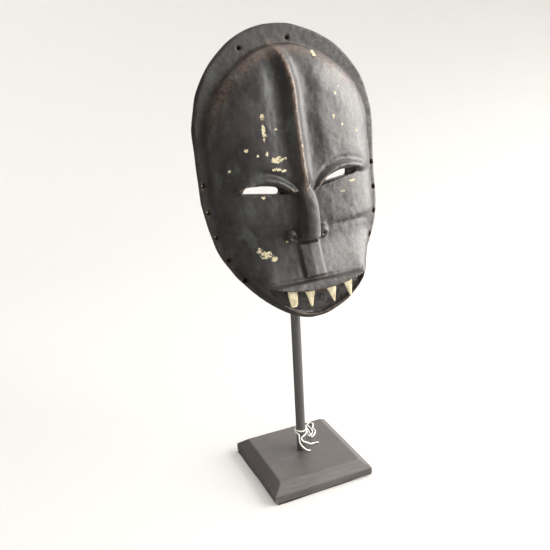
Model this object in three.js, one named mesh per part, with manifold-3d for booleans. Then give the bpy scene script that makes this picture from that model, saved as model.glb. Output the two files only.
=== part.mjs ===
// A carved wooden face mask on a display stand: a bevelled block, a round steel post, and a
// batten in the mask's hollow that drops over the post and turns on a collar.
// Millimetres, +Z up. The origin is the centre of the stand's underside and the mask faces -Y.

import * as THREE from "three";
import { ConvexGeometry } from "three/addons/geometries/ConvexGeometry.js";
import { mergeVertices } from "three/addons/utils/BufferGeometryUtils.js";
import Module from "manifold-3d";

const wasm = await Module();
wasm.setup();

// ---- Clearances --------------------------------------------------------------------------------
const GAP = 0.3; // between pieces that touch
const RUNNING_GAP = 0.4; // radial, round a piece that turns or slides
const OVERCUT = 5; // how far a cutting tool runs past what it cuts

// ---- Stand -------------------------------------------------------------------------------------
const BASE_SIDE = 90;
const BASE_HEIGHT = 15; // felt included
const BASE_EDGE_HEIGHT = 8; // where the bevel starts
const BASE_BEVEL = 8.5; // how far the bevel leans in
const FELT_THICKNESS = 1;
const FELT_MARGIN = 0.5; // the felt's sides are this much short of the block's
const FELT_SKEW = 1.5; // degrees, glued on slightly crooked
const POST_RADIUS = 4;
const SPIGOT_RADIUS = 2.85; // the threaded end that passes through the block
const SPIGOT_HOLE_RADIUS = 3.3;
const SPIGOT_CLEAR = 1.2; // from the spigot's end to the felt
const POST_CHAMFER = 0.8;
const NUT_RADIUS = 5.77; // across corners, halved
const NUT_HEIGHT = 5;
const NUT_HOLE_RADIUS = 3;
const POST_WASHER_RADIUS = 8.5;
const POST_WASHER_THICKNESS = 1.1;
const COUNTERBORE_RADIUS = 10;
const COUNTERBORE_DEPTH = 8;

// ---- Collar and washer that carry the mask -----------------------------------------------------
const COLLAR_RADIUS = 8;
const COLLAR_HEIGHT = 8;
const COLLAR_BORE_RADIUS = POST_RADIUS + GAP;
const COLLAR_SCREW_RADIUS = 1.4;
const COLLAR_SCREW_SLOT_WIDTH = 0.6;
const COLLAR_SCREW_SLOT_DEPTH = 0.8;
const REST_WASHER_RADIUS = 7.5;
const REST_WASHER_THICKNESS = 1.2;

// ---- Where the mask hangs ----------------------------------------------------------------------
const MASK_HEIGHT = 298; // the mask's own zero level above the floor
const MASK_SETBACK = 7.5; // its back plane behind the post's axis, at that level
const MASK_TILT = 6; // degrees, leaning back
const MASK_ROLL = 0.7; // degrees, hanging slightly crooked

// ---- Mask outline, in the mask's own frame: u across, v up, w forward --------------------------
const FACE_HALF_WIDTH = 72.8;
const CROWN = 71.3; // highest point
const CROWN_START = -8; // where the sides turn into the crown's half ellipse
const JAW_START = -35; // where the sides begin to draw in
const CHIN = -152.8;
const JAW_FULLNESS = 2.28;
const JAW_TAPER = 0.63;
const JAW_SWING = 3; // the chin is carved this far off the centre line
// The right side is fuller than the left: [by how much, at what level, over what spread].
const BULGES = [[3.2, 15, 45], [5.4, -88, 34], [6.6, -148, 10]];
const BULGE_START = 55; // no bulge above here, fading to the crown
const WEB_CENTRE = -38; // where the spokes of the surface meet
const CROWN_STEPS = 16;
const CROWN_CROWDING = 1.2; // draws the crown's points together at its top
const SIDE_STEPS = 4;
const JAW_STEPS = 21;
const RINGS = 28;
const RING_CROWDING = 1.2; // draws the rings together at the rim

// ---- Mask relief: [level v, value] stations, each list read as one smooth curve ----------------
const FLANGE_WIDTH = [
  [-150, 1], [-125, 2.5], [-100, 4], [-80, 5], [-30, 6.5], [5, 7.5], [25, 10], [45, 13.5], [71, 15],
];
const RIM_HEIGHT = [[-152, 17], [-120, 9], [-92, 6.5], [40, 6.5], [72, 5]];
const SHOULDER = [[-150, 5], [-118, 10], [-90, 26], [-50, 26], [-20, 28], [20, 29], [60, 18]];
const FOREHEAD = [[-38, 31], [-25, 30.5], [5, 28.5], [30, 25], [45, 22], [60, 18]];
const CHEEK = [
  [-150, 24], [-137, 30], [-127, 35.5], [-117, 35.5], [-105, 31], [-88, 26.5], [-70, 26], [-48, 26],
];
const CENTRE_LINE = [
  [-90, 0.4], [-62, 1.8], [-42, -1.2], [-20, -1.8], [5, -2.8], [25, -2.4], [40, -4.2], [60, -7.2],
];
const RIM_ROUNDING = 1.5;
const TEMPLE_DROP = 6.5; // how far the forehead falls away 60 mm out
const CHEEK_DROP = 4; // and the cheeks, 55 mm out
const MUZZLE_DROP = 3.2; // and the muzzle, 40 mm out
const CREASE_LEVEL = -82;
const CREASE_DEPTH = 0.5;

// ---- Ridge, brow and eyes ----------------------------------------------------------------------
const RIDGE_HEIGHT = 5.2;
const RIDGE_HALF_WIDTH = 9;
const RIDGE_FLAT = 1.3; // half the width of its worn top
const RIDGE_HOLLOW = 1.7; // power that hollows its flanks
const RIDGE_TOP = 61;
const RIDGE_RISE = 11; // it reaches its full height this far down
const VALLEY_OFFSET = 12; // the shallow gouge on each side of the ridge
const VALLEY_WIDTH = 7;
const VALLEY_DEPTH = 1.4;
const EYE_LEAN = 0.06; // the wearer's left eye sits higher
const SLIT_LENGTH = 31;
const SLIT_HEIGHT = 5.6;
const SLIT_CENTRE = 31.9;
const SLIT_LEVEL = -44.6;
const SLIT_SLANT = 8; // degrees, outer end up
const SLIT_CORNER = 1.5;
const BLIND_END = 7; // the wearer's left slit stops this far short behind its outer end
const SOCKET_FLOOR = 23;
const BLIND_LEVEL = SOCKET_FLOOR - 3; // the bottom of that blind end
const BROW_ABOVE = 3.4; // above the slit, at the brow's peak
const BROW_PEAK = 33; // distance from the centre line
const BROW_BEND_INNER = 0.021;
const BROW_BEND_OUTER = 0.012;
const BROW_ROLL = 2.8; // height of the rolled edge
const BROW_ROLL_LEVEL = 3.2; // above the brow's edge
const BROW_CREASE = 0.9;
const BROW_CREASE_LEVEL = 8.4;
const LID_BELOW = 3; // below the slit

// ---- Nose, plate below it and mouth ------------------------------------------------------------
const NOSE_CREST = [[-90, 37.5], [-84, 37.5], [-60, 35.5], [-45, 33], [-38, 32]];
const NOSE_HALF_WIDTH = [[-86, 5.4], [-60, 5], [-42, 3.4]];
const NOSE_ROUNDING = 0.03;
const NOSE_SIDE = 5; // how far out its sides reach
const NOSE_DROP = 12;
const NOSE_TOP = -38;
const NOSE_END = -88;
const NOSE_END_SLOPE = 1.8;
const WING_OFFSET = 13;
const WING_LEVEL = -83;
const WING_RADIUS = 5.2;
const WING_HEIGHT = 5.4;
const PLATE_TOP = -91;
const PLATE_BOTTOM = -114.3;
const PLATE_HALF_WIDTH = 8.3;
const PLATE_RAISE = 2.8;
const MOUTH_HALF_WIDTH = 39.4;
const LIP_TOP = -118;
const LIP_HEIGHT = 7.2;
const LIP_RAISE_TOP = 2;
const LIP_RAISE_BOTTOM = 4.2;
const LIP_GROOVE = 0.9; // just above the lip
const LIP_GROOVE_LEVEL = 1.8;
const MOUTH_DEPTH = 28.5; // from the lip's top edge to the mouth's lowest point
const MOUTH_BULGE = 1.6;
const MOUTH_FLOOR = [[-148, 22.5], [-140, 25.5], [-126, 31.5]];
const CHIN_RIM_RAISE = 1.5;

// ---- Hollow back -------------------------------------------------------------------------------
const HOLLOW_MARGIN = 3; // more than the flange, all round
const HOLLOW_LEAST_INSET = 8;
const HOLLOW_SHOULDER = 18;
const HOLLOW_DEPTH = [
  [-146, 8], [-135, 16], [-120, 22.5], [-105, 21.5], [-85, 17.5], [-60, 17],
  [-45, 16.5], [-30, 20.5], [5, 20], [30, 17], [45, 12], [60, 6],
];
const HOLLOW_RINGS = 7;

// ---- Holes along the rim -----------------------------------------------------------------------
const RIM_HOLE_RADIUS = 1.9; // burnt in from the front, so wider there
const RIM_HOLE_BACK_RADIUS = 0.4;
const RIM_HOLE_INSET = 3;
const RIM_HOLE_PITCH = 20.3;
const RIM_HOLES_PER_SIDE = 5;
const FIRST_RIM_HOLE_LEVEL = -37.5;
const CROWN_HOLES = [[8.2, 60], [-30.5, 55]];

// ---- Teeth -------------------------------------------------------------------------------------
const TOOTH_ROOT = 4; // length let into the lip
const TOOTH_LENGTH = 12.2; // length showing
const TOOTH_WIDTHS = [7.4, 8.6, 9, 8.2];
const TOOTH_LEANS = [0.6, 0.5, 2.2, 2]; // how far each tip leans to the right
const TOOTH_THICKNESS = 2.8;
const TOOTH_TIP_WIDTH = 1.6;
const TOOTH_TIP_THICKNESS = 1.2;
const PEG_TIP_WIDTH = 5.4; // the broken first tooth
const TOOTH_SETBACK = 4.8; // its middle behind the lip's face
const TOOTH_OFFSETS = [-23.3, -8.8, 8.8, 23.3]; // from the mouth's middle

// ---- Batten and its screws ---------------------------------------------------------------------
const BATTEN_BOTTOM = -24;
const BATTEN_TOP = 4;
const BATTEN_BACK = 0.5; // its back face in front of the mask's back plane
const SCRIBE_GAP = 0.9; // between its shaped front and the hollow
const SOCKET_DEPTH = 21.4; // how far the post enters the batten
const SEAT_DEPTH = 1.8; // the level seat for the washer, at the post's axis
const SCREW_SPACING = 84;
const SCREW_SHANK_RADIUS = 2;
const SCREW_HEAD_RADIUS = 4;
const SCREW_HEAD_HEIGHT = 2.4;
const SCREW_LENGTH = 22.5;
const SCREW_POINT = 4;
const SCREW_SLOT_WIDTH = 1.1;
const SCREW_SLOT_DEPTH = 1.1;

// ---- Tag string --------------------------------------------------------------------------------
const STRING_DIAMETER = 1.3;
const STRING_SIDES = 8;
const STRING_STEPS = 80;
const TURN_RADIUS = POST_RADIUS + STRING_DIAMETER / 2 + GAP;
const STRING_LEVEL = BASE_HEIGHT + STRING_DIAMETER / 2 + GAP; // its middle where it lies on the block

// ---- Helpers -----------------------------------------------------------------------------------
const degrees = THREE.MathUtils.degToRad;
const clamp = THREE.MathUtils.clamp;
const lerp = THREE.MathUtils.lerp;

// A smooth step from 0 at a to 1 at b; a may be above b.
function step(x, a, b) {
  const t = clamp((x - a) / (b - a), 0, 1);
  return t * t * (3 - 2 * t);
}

// A quarter-ellipse rise from 0 to 1, steep at first.
function dome(t) {
  const rest = 1 - clamp(t, 0, 1);
  return Math.sqrt(1 - rest * rest);
}

// A smooth bump of height 1 at 0.
function bell(x, width) {
  return Math.exp(-((x / width) ** 2));
}

// The value at a level on a smooth curve through stations sorted by level, held at the ends.
function along(stations, level) {
  const last = stations.length - 1;
  const held = clamp(level, stations[0][0], stations[last][0]);
  const index = clamp(stations.findIndex(([v]) => v >= held) - 1, 0, last - 1);
  const slope = (k) => {
    const [before, from] = stations[Math.max(k - 1, 0)];
    const [after, to] = stations[Math.min(k + 1, last)];
    return (to - from) / (after - before);
  };
  const [low, start] = stations[index];
  const [high, end] = stations[index + 1];
  const span = high - low;
  const t = (held - low) / span;
  const bend = (1 - t) * slope(index) - t * slope(index + 1);
  return start + (end - start) * step(t, 0, 1) + span * t * (1 - t) * bend;
}

function solidOf(geometry) {
  const bare = geometry.clone();
  bare.deleteAttribute("normal");
  bare.deleteAttribute("uv");
  const merged = mergeVertices(bare, 1e-4);
  const vertProperties = merged.attributes.position.array;
  const triVerts = new Uint32Array(merged.index.array);
  return new wasm.Manifold(new wasm.Mesh({ numProp: 3, vertProperties, triVerts }));
}

function geometryOf(solid) {
  const { vertProperties, triVerts } = solid.getMesh();
  const geometry = new THREE.BufferGeometry();
  geometry.setAttribute("position", new THREE.BufferAttribute(new Float32Array(vertProperties), 3));
  geometry.setIndex(new THREE.BufferAttribute(new Uint32Array(triVerts), 1));
  geometry.computeVertexNormals();
  return geometry;
}

// The first geometry with all the others cut out of it.
function cut(geometry, ...tools) {
  let solid = solidOf(geometry);
  for (const tool of tools) {
    solid = solid.subtract(solidOf(tool));
  }
  return geometryOf(solid);
}

// A solid of revolution about Z from [radius, z] pairs that start and end on the axis or close.
function turned(profile, sides) {
  const points = profile.map(([radius, z]) => new THREE.Vector2(radius, z));
  return new THREE.LatheGeometry(points, sides).rotateX(Math.PI / 2);
}

function cylinder(radius, from, to, sides = 32) {
  return turned([[0, from], [radius, from], [radius, to], [0, to]], sides);
}

function ring(inner, outer, from, to, sides = 32) {
  const profile = [[inner, from], [outer, from], [outer, to], [inner, to], [inner, from]];
  return turned(profile, sides);
}

// From a tool drawn in (x, y) with its length along z to the mask's frame, length forward (w).
function facing(geometry, u, v, w) {
  return geometry.rotateX(Math.PI / 2).translate(u, -w, v);
}

// ---- Mask surface ------------------------------------------------------------------------------

// Right half of the outline from the crown to the chin, as [u, v] points.
function halfOutline() {
  const points = [];
  for (let i = 0; i < CROWN_STEPS; i++) {
    const angle = (Math.PI / 2) * (i / CROWN_STEPS) ** CROWN_CROWDING;
    const level = lerp(CROWN_START, CROWN, Math.cos(angle));
    points.push([FACE_HALF_WIDTH * Math.sin(angle), level]);
  }
  for (let i = 0; i < SIDE_STEPS; i++) {
    points.push([FACE_HALF_WIDTH, lerp(CROWN_START, JAW_START, i / SIDE_STEPS)]);
  }
  for (let i = 0; i <= JAW_STEPS; i++) {
    const t = Math.sin((Math.PI / 2) * (i / JAW_STEPS));
    const reach = Math.max(0, 1 - t ** JAW_FULLNESS) ** JAW_TAPER;
    points.push([FACE_HALF_WIDTH * reach, lerp(JAW_START, CHIN, t)]);
  }
  return points;
}

// How far the middle of the face leaves the centre line towards the chin.
const swing = (v) => JAW_SWING * step(v, -85, -135);

// How much fuller the right side is than the left.
function bulge(v) {
  const sum = BULGES.reduce((total, [by, level, spread]) => total + by * bell(v - level, spread), 0);
  return sum * step(v, CROWN, BULGE_START);
}

// The whole outline, clockwise as the face is seen.
function wholeOutline() {
  const right = halfOutline();
  const left = right.slice(1, -1).reverse().map(([u, v]) => [swing(v) - u, v]);
  return [...right.map(([u, v]) => [swing(v) + u + bulge(v), v]), ...left];
}

const OUTLINE = wholeOutline();

function distanceToSegment(u, v, [au, av], [bu, bv]) {
  const du = bu - au;
  const dv = bv - av;
  const t = clamp(((u - au) * du + (v - av) * dv) / (du * du + dv * dv), 0, 1);
  return Math.hypot(u - au - t * du, v - av - t * dv);
}

// Distance in from the outline.
function inset(u, v) {
  const after = (i) => OUTLINE[(i + 1) % OUTLINE.length];
  const gaps = OUTLINE.map((point, i) => distanceToSegment(u, v, point, after(i)));
  return Math.min(...gaps);
}

// Level of the lower edge of the rolled brow.
function browLevel(u) {
  const off = Math.abs(u) - BROW_PEAK;
  const bend = off < 0 ? BROW_BEND_INNER : BROW_BEND_OUTER;
  return SLIT_LEVEL + BROW_ABOVE - bend * off ** 2 + EYE_LEAN * u;
}

// Level of the lower lid's edge.
function lidLevel(u) {
  const rise = Math.tan(degrees(SLIT_SLANT)) * (Math.abs(u) - SLIT_CENTRE);
  return SLIT_LEVEL - LID_BELOW + rise + EYE_LEAN * u;
}

const mouthShare = (u) => clamp(Math.abs(u - swing(LIP_TOP)) / MOUTH_HALF_WIDTH, 0, 1);
const lipBottom = (u) => LIP_TOP - LIP_HEIGHT * (1 - mouthShare(u) ** 2);

function mouthBottom(u) {
  const rest = 1 - mouthShare(u) ** MOUTH_BULGE;
  return LIP_TOP - MOUTH_DEPTH * rest ** (1 / MOUTH_BULGE);
}

// Forehead, brow, eye sockets and cheeks, before the edges fall away.
function faceHeight(u, v) {
  const across = Math.abs(u);
  const brow = browLevel(u);
  const lid = lidLevel(u);
  const beside = Math.abs(u - along(CENTRE_LINE, v)) - VALLEY_OFFSET;
  const valley = VALLEY_DEPTH * bell(beside, VALLEY_WIDTH) * step(v, -44, -20) * step(v, 58, 40);
  const roll = BROW_ROLL * bell(v - brow - BROW_ROLL_LEVEL, 2.8);
  const crease = BROW_CREASE * bell(v - brow - BROW_CREASE_LEVEL, 2.2);
  const rolled = (roll - crease) * step(across, 60, 50) * step(across, 4, 12);
  const forehead = along(FOREHEAD, v) - TEMPLE_DROP * (u / 60) ** 2 - valley + rolled;
  const fold = bell(v - CREASE_LEVEL - 0.05 * u, 2.4) * step(across, 14, 20) * step(across, 66, 50);
  let cheek = along(CHEEK, v);
  cheek -= CHEEK_DROP * (u / 55) ** 2 * step(v, -108, -90);
  cheek -= MUZZLE_DROP * (across / 40) * step(v, -70, -100) * step(v, -120, -112);
  cheek -= CREASE_DEPTH * fold;
  const socket = lerp((forehead + cheek) / 2, SOCKET_FLOOR, step(across, 58, 48));
  const upper = lerp(socket, forehead, step(v, brow - 1, brow + 0.8));
  const soft = 0.8 + 5 * step(across, 44, 58);
  return lerp(cheek, upper, step(v, lid - soft, lid + soft));
}

// The raised keel from the crown to the bridge of the nose.
function ridgeRaise(u, v) {
  const away = Math.max(0, Math.abs(u - along(CENTRE_LINE, v)) - RIDGE_FLAT);
  const share = clamp(1 - away / (RIDGE_HALF_WIDTH - RIDGE_FLAT), 0, 1);
  const length = step(v, RIDGE_TOP, RIDGE_TOP - RIDGE_RISE) * step(v, -54, -42);
  return RIDGE_HEIGHT * share ** RIDGE_HOLLOW * length;
}

function noseHeight(u, v) {
  if (v > NOSE_TOP) {
    return 0;
  }
  const across = Math.abs(u - along(CENTRE_LINE, v));
  const fall = Math.max(0, across - along(NOSE_HALF_WIDTH, v)) / NOSE_SIDE;
  const crest = along(NOSE_CREST, v) - NOSE_ROUNDING * across ** 2 - NOSE_DROP * fall ** 1.2;
  return crest * step(v, NOSE_END, NOSE_END + NOSE_END_SLOPE);
}

function wingHeight(u, v) {
  const away = Math.hypot(Math.abs(u) - WING_OFFSET, v - WING_LEVEL) / WING_RADIUS;
  return WING_HEIGHT * dome(1 - away);
}

function plateRaise(u, v) {
  const side = step(Math.abs(u), PLATE_HALF_WIDTH + 0.5, PLATE_HALF_WIDTH - 0.5);
  const upright = step(v, PLATE_BOTTOM - 0.8, PLATE_BOTTOM + 0.4) * step(v, PLATE_TOP + 2.5, PLATE_TOP);
  return PLATE_RAISE * side * upright;
}

// Lip band, sunken mouth and chin rim laid into the height of the jaw.
function mouthHeight(u, v, jaw) {
  const inside = step(Math.abs(u - swing(LIP_TOP)), MOUTH_HALF_WIDTH + 0.5, MOUTH_HALF_WIDTH - 1);
  const top = step(v, LIP_TOP + 0.8, LIP_TOP - 0.2);
  const down = clamp((LIP_TOP - v) / (LIP_TOP - lipBottom(u) + 0.01), 0, 1);
  const groove = LIP_GROOVE * bell(v - LIP_TOP - LIP_GROOVE_LEVEL, 1.2);
  const lip = jaw + (top * lerp(LIP_RAISE_TOP, LIP_RAISE_BOTTOM, down) - groove) * inside;
  const low = mouthBottom(u);
  const rim = jaw + CHIN_RIM_RAISE * inside * step(v, low + 1, low - 1) * step(v, low - 6, low - 3);
  const floor = Math.min(along(MOUTH_FLOOR, v), rim);
  const sunk = step(v, lipBottom(u) + 0.2, lipBottom(u) - 0.8) * inside;
  const open = sunk * step(v, low - 0.6, low + 1);
  return lerp(lerp(lip, rim, sunk), floor, open);
}

// Height of the carved front above the mask's back plane.
function frontHeight(u, v) {
  const edge = inset(u, v);
  const rounding = RIM_ROUNDING * (1 - dome(edge / RIM_ROUNDING));
  const into = edge - along(FLANGE_WIDTH, v);
  const rise = dome(into / along(SHOULDER, v)) * step(into, -1, 2.6);
  let face = faceHeight(u, v) + ridgeRaise(u, v) + wingHeight(u, v) + plateRaise(u, v);
  face = Math.max(face, noseHeight(u, v));
  if (v < LIP_TOP + 5) {
    face = mouthHeight(u, v, face);
  }
  return lerp(along(RIM_HEIGHT, v), face, rise) - rounding;
}

const hollowInset = (v) => Math.max(HOLLOW_LEAST_INSET, along(FLANGE_WIDTH, v) + HOLLOW_MARGIN);

// The point on the way from an outline point to the web's centre where the hollow starts.
function hollowStart([u, v]) {
  let near = 0;
  let far = 1;
  for (let i = 0; i < 24; i++) {
    const t = (near + far) / 2;
    const pu = u * (1 - t);
    const pv = lerp(v, WEB_CENTRE, t);
    if (inset(pu, pv) < hollowInset(pv)) {
      near = t;
    } else {
      far = t;
    }
  }
  return [u * (1 - far), lerp(v, WEB_CENTRE, far)];
}

const HOLLOW_RIM = OUTLINE.map(hollowStart);

function hollowHeight(u, v) {
  return along(HOLLOW_DEPTH, v) * dome((inset(u, v) - hollowInset(v)) / HOLLOW_SHOULDER);
}

// A closed body between a flat back at level w = back and a surface, on spokes and rings.
function webBody(rimPoints, rings, height, back) {
  const spokes = rimPoints.length;
  const positions = [];
  const place = (u, v, w) => positions.push(u, -w, v);
  place(0, WEB_CENTRE, height(0, WEB_CENTRE));
  for (let k = 1; k <= rings; k++) {
    const share = 1 - (1 - k / rings) ** RING_CROWDING;
    for (const [u, v] of rimPoints) {
      const pu = u * share;
      const pv = lerp(WEB_CENTRE, v, share);
      place(pu, pv, height(pu, pv));
    }
  }
  for (const [u, v] of rimPoints) {
    place(u, v, back);
  }
  place(0, WEB_CENTRE, back);
  const last = positions.length / 3 - 1;
  const faces = [];
  for (let j = 0; j < spokes; j++) {
    const next = (j + 1) % spokes;
    faces.push(0, 1 + next, 1 + j);
    for (let k = 0; k <= rings - 1; k++) {
      const a = 1 + k * spokes;
      const b = a + spokes;
      faces.push(a + j, a + next, b + next, a + j, b + next, b + j);
    }
    faces.push(last, last - spokes + j, last - spokes + next);
  }
  const geometry = new THREE.BufferGeometry();
  geometry.setAttribute("position", new THREE.Float32BufferAttribute(positions, 3));
  geometry.setIndex(faces);
  return geometry;
}

// ---- Mask and what is fixed to it --------------------------------------------------------------

// The mask's frame on the stand.
const mask = new THREE.Group();
mask.name = "mask";
mask.position.set(0, MASK_SETBACK, MASK_HEIGHT);
mask.rotation.set(-degrees(MASK_TILT), -degrees(MASK_ROLL), 0);
mask.updateMatrixWorld(true);

// A tool drawn in the stand's frame, moved into the mask's.
function fromStand(geometry) {
  return geometry.applyMatrix4(mask.matrixWorld.clone().invert());
}

// A slit's tool from one end to the other of its length, from level w = back forwards.
function slitTool(side, inner, outer, back) {
  const half = SLIT_LENGTH / 2;
  const low = -SLIT_HEIGHT / 2;
  const shape = new THREE.Shape();
  shape.moveTo(inner + SLIT_CORNER, low);
  shape.lineTo(outer - SLIT_CORNER, low);
  shape.quadraticCurveTo(outer, low, outer, low + 2 * SLIT_CORNER);
  shape.quadraticCurveTo(outer - half / 4, -low, (inner + outer) / 2, -low);
  shape.quadraticCurveTo(inner + half / 4, -low, inner, low + 2 * SLIT_CORNER);
  shape.quadraticCurveTo(inner, low, inner + SLIT_CORNER, low);
  const depth = SOCKET_FLOOR + OVERCUT - back;
  const tool = new THREE.ExtrudeGeometry(shape, { depth, bevelEnabled: false, curveSegments: 5 });
  tool.rotateZ(side * degrees(SLIT_SLANT));
  const u = side * SLIT_CENTRE;
  return facing(tool, u, SLIT_LEVEL + EYE_LEAN * u, back);
}

// The left slit goes right through; the right one's outer end is only cut part way in.
function eyeSlits() {
  const half = SLIT_LENGTH / 2;
  return [
    slitTool(-1, -half, half, -OVERCUT),
    slitTool(1, -half, half - BLIND_END, -OVERCUT),
    slitTool(1, -half, half, BLIND_LEVEL),
  ];
}

// A point on the outline a distance down the side from a level, moved in from the edge.
function rimHolePoint(side, distance) {
  const path = halfOutline();
  let left = distance;
  let index = path.findIndex(([, v]) => v < FIRST_RIM_HOLE_LEVEL);
  const stretch = () => {
    const [au, av] = path[index];
    const [bu, bv] = path[index + 1];
    return Math.hypot(bu - au, bv - av);
  };
  while (left > stretch()) {
    left -= stretch();
    index += 1;
  }
  const [au, av] = path[index];
  const [bu, bv] = path[index + 1];
  const t = left / stretch();
  const u = lerp(au, bu, t) - ((av - bv) / stretch()) * RIM_HOLE_INSET;
  const v = lerp(av, bv, t) - ((au - bu) / stretch()) * -RIM_HOLE_INSET;
  return [side * u + swing(v) + (side > 0 ? bulge(v) : 0), v];
}

function rimHoles() {
  const places = [...CROWN_HOLES];
  for (const side of [-1, 1]) {
    for (let i = 0; i < RIM_HOLES_PER_SIDE; i++) {
      places.push(rimHolePoint(side, i * RIM_HOLE_PITCH));
    }
  }
  const thickness = along(RIM_HEIGHT, 0);
  const profile = [
    [0, -OVERCUT],
    [RIM_HOLE_BACK_RADIUS, -OVERCUT],
    [RIM_HOLE_BACK_RADIUS, 0],
    [RIM_HOLE_RADIUS, thickness],
    [RIM_HOLE_RADIUS, thickness + 2 * OVERCUT],
    [0, thickness + 2 * OVERCUT],
  ];
  return places.map(([u, v]) => facing(turned(profile, 12), u, v, 0));
}

// A tooth, or with a clearance the socket it sits in, hanging from the lip.
function toothGeometry(index, clearance) {
  const u = TOOTH_OFFSETS[index] + swing(LIP_TOP);
  const top = lipBottom(u) + TOOTH_ROOT;
  const w = along(CHEEK, LIP_TOP - LIP_HEIGHT / 2) + LIP_RAISE_BOTTOM - TOOTH_SETBACK;
  const tipWidth = index === 0 ? PEG_TIP_WIDTH : TOOTH_TIP_WIDTH;
  const corners = [];
  for (const side of [-1, 1]) {
    for (const face of [-1, 1]) {
      const rootU = side * (TOOTH_WIDTHS[index] / 2 + clearance);
      const rootW = face * (TOOTH_THICKNESS / 2 + clearance);
      const tipU = side * (tipWidth / 2 + clearance) + TOOTH_LEANS[index];
      const tipW = face * (TOOTH_TIP_THICKNESS / 2 + clearance);
      corners.push(new THREE.Vector3(u + rootU, -(w + rootW), top + clearance));
      corners.push(new THREE.Vector3(u + rootU, -(w + rootW), top - TOOTH_ROOT));
      corners.push(new THREE.Vector3(u + tipU, -(w + tipW), top - TOOTH_ROOT - TOOTH_LENGTH - clearance));
    }
  }
  return new ConvexGeometry(corners);
}

// A countersunk wood screw seen from the back: its head at w = 0, its point forward.
function screwProfile(clearance) {
  const shank = SCREW_SHANK_RADIUS + clearance;
  const head = SCREW_HEAD_RADIUS + clearance;
  return [
    [0, clearance ? -OVERCUT : 0],
    [head, clearance ? -OVERCUT : 0],
    [head, 0.4],
    [shank, SCREW_HEAD_HEIGHT],
    [shank, SCREW_LENGTH - SCREW_POINT],
    [0, SCREW_LENGTH + clearance],
  ];
}

const screwLevel = (BATTEN_BOTTOM + BATTEN_TOP) / 2;

function battenScrew(side) {
  const blank = turned(screwProfile(0), 20);
  const slot = new THREE.BoxGeometry(3 * SCREW_HEAD_RADIUS, SCREW_SLOT_WIDTH, 2 * SCREW_SLOT_DEPTH);
  return facing(cut(blank, slot), (side * SCREW_SPACING) / 2, screwLevel, BATTEN_BACK);
}

function screwHole(side) {
  const tool = turned(screwProfile(GAP), 20);
  return facing(tool, (side * SCREW_SPACING) / 2, screwLevel, BATTEN_BACK);
}

function maskShell() {
  const front = webBody(OUTLINE, RINGS, frontHeight, 0);
  const hollow = webBody(HOLLOW_RIM, HOLLOW_RINGS, hollowHeight, -OVERCUT);
  const sockets = TOOTH_OFFSETS.map((_, i) => toothGeometry(i, GAP));
  const screwHoles = [-1, 1].map(screwHole);
  return cut(front, hollow, ...eyeSlits(), ...rimHoles(), ...sockets, ...screwHoles);
}

// Height of the level seat that the washer bears on, and of the post's top, on the stand.
const maskPoint = new THREE.Vector3(0, -MASK_SETBACK, BATTEN_BOTTOM).applyMatrix4(mask.matrixWorld);
const SEAT_LEVEL = maskPoint.z + SEAT_DEPTH;
const POST_TOP = SEAT_LEVEL + SOCKET_DEPTH;

function crossBatten() {
  const height = BATTEN_TOP - BATTEN_BOTTOM;
  const depth = Math.max(...HOLLOW_DEPTH.map(([, value]) => value));
  const blank = new THREE.BoxGeometry(2 * FACE_HALF_WIDTH, depth, height);
  blank.translate(0, -BATTEN_BACK - depth / 2, (BATTEN_TOP + BATTEN_BOTTOM) / 2);
  const fitted = webBody(HOLLOW_RIM, HOLLOW_RINGS, (u, v) => hollowHeight(u, v) - SCRIBE_GAP, -OVERCUT);
  const scribed = geometryOf(solidOf(blank).intersect(solidOf(fitted)));
  const socket = cylinder(POST_RADIUS + RUNNING_GAP, SEAT_LEVEL - COLLAR_HEIGHT, POST_TOP + GAP);
  const seat = cylinder(REST_WASHER_RADIUS + 1, SEAT_LEVEL - COLLAR_HEIGHT, SEAT_LEVEL);
  return cut(scribed, fromStand(socket), fromStand(seat), screwHole(-1), screwHole(1));
}

// ---- Stand -------------------------------------------------------------------------------------

const BLOCK_BOTTOM = FELT_THICKNESS + GAP;
const COUNTERBORE_TOP = BLOCK_BOTTOM + COUNTERBORE_DEPTH;
const WASHER_TOP = COUNTERBORE_TOP - GAP;
const NUT_TOP = WASHER_TOP - POST_WASHER_THICKNESS - GAP;
const REST_WASHER_TOP = SEAT_LEVEL - GAP;
const COLLAR_TOP = REST_WASHER_TOP - REST_WASHER_THICKNESS - GAP;
const COLLAR_BOTTOM = COLLAR_TOP - COLLAR_HEIGHT;
const COLLAR_SCREW_LEVEL = COLLAR_TOP - COLLAR_HEIGHT / 2;

function baseBlock() {
  const half = BASE_SIDE / 2;
  const top = half - BASE_BEVEL;
  const corners = [];
  for (const x of [-1, 1]) {
    for (const y of [-1, 1]) {
      corners.push(new THREE.Vector3(x * half, y * half, BLOCK_BOTTOM));
      corners.push(new THREE.Vector3(x * half, y * half, BASE_EDGE_HEIGHT));
      corners.push(new THREE.Vector3(x * top, y * top, BASE_HEIGHT));
    }
  }
  const hole = cylinder(SPIGOT_HOLE_RADIUS, 0, BASE_HEIGHT + OVERCUT, 24);
  const counterbore = cylinder(COUNTERBORE_RADIUS, 0, COUNTERBORE_TOP, 32);
  return cut(new ConvexGeometry(corners), hole, counterbore);
}

function baseFelt() {
  const side = BASE_SIDE - 2 * FELT_MARGIN;
  const sheet = new THREE.BoxGeometry(side, side, FELT_THICKNESS);
  return sheet.rotateZ(-degrees(FELT_SKEW)).translate(0, 0, FELT_THICKNESS / 2);
}

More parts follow.
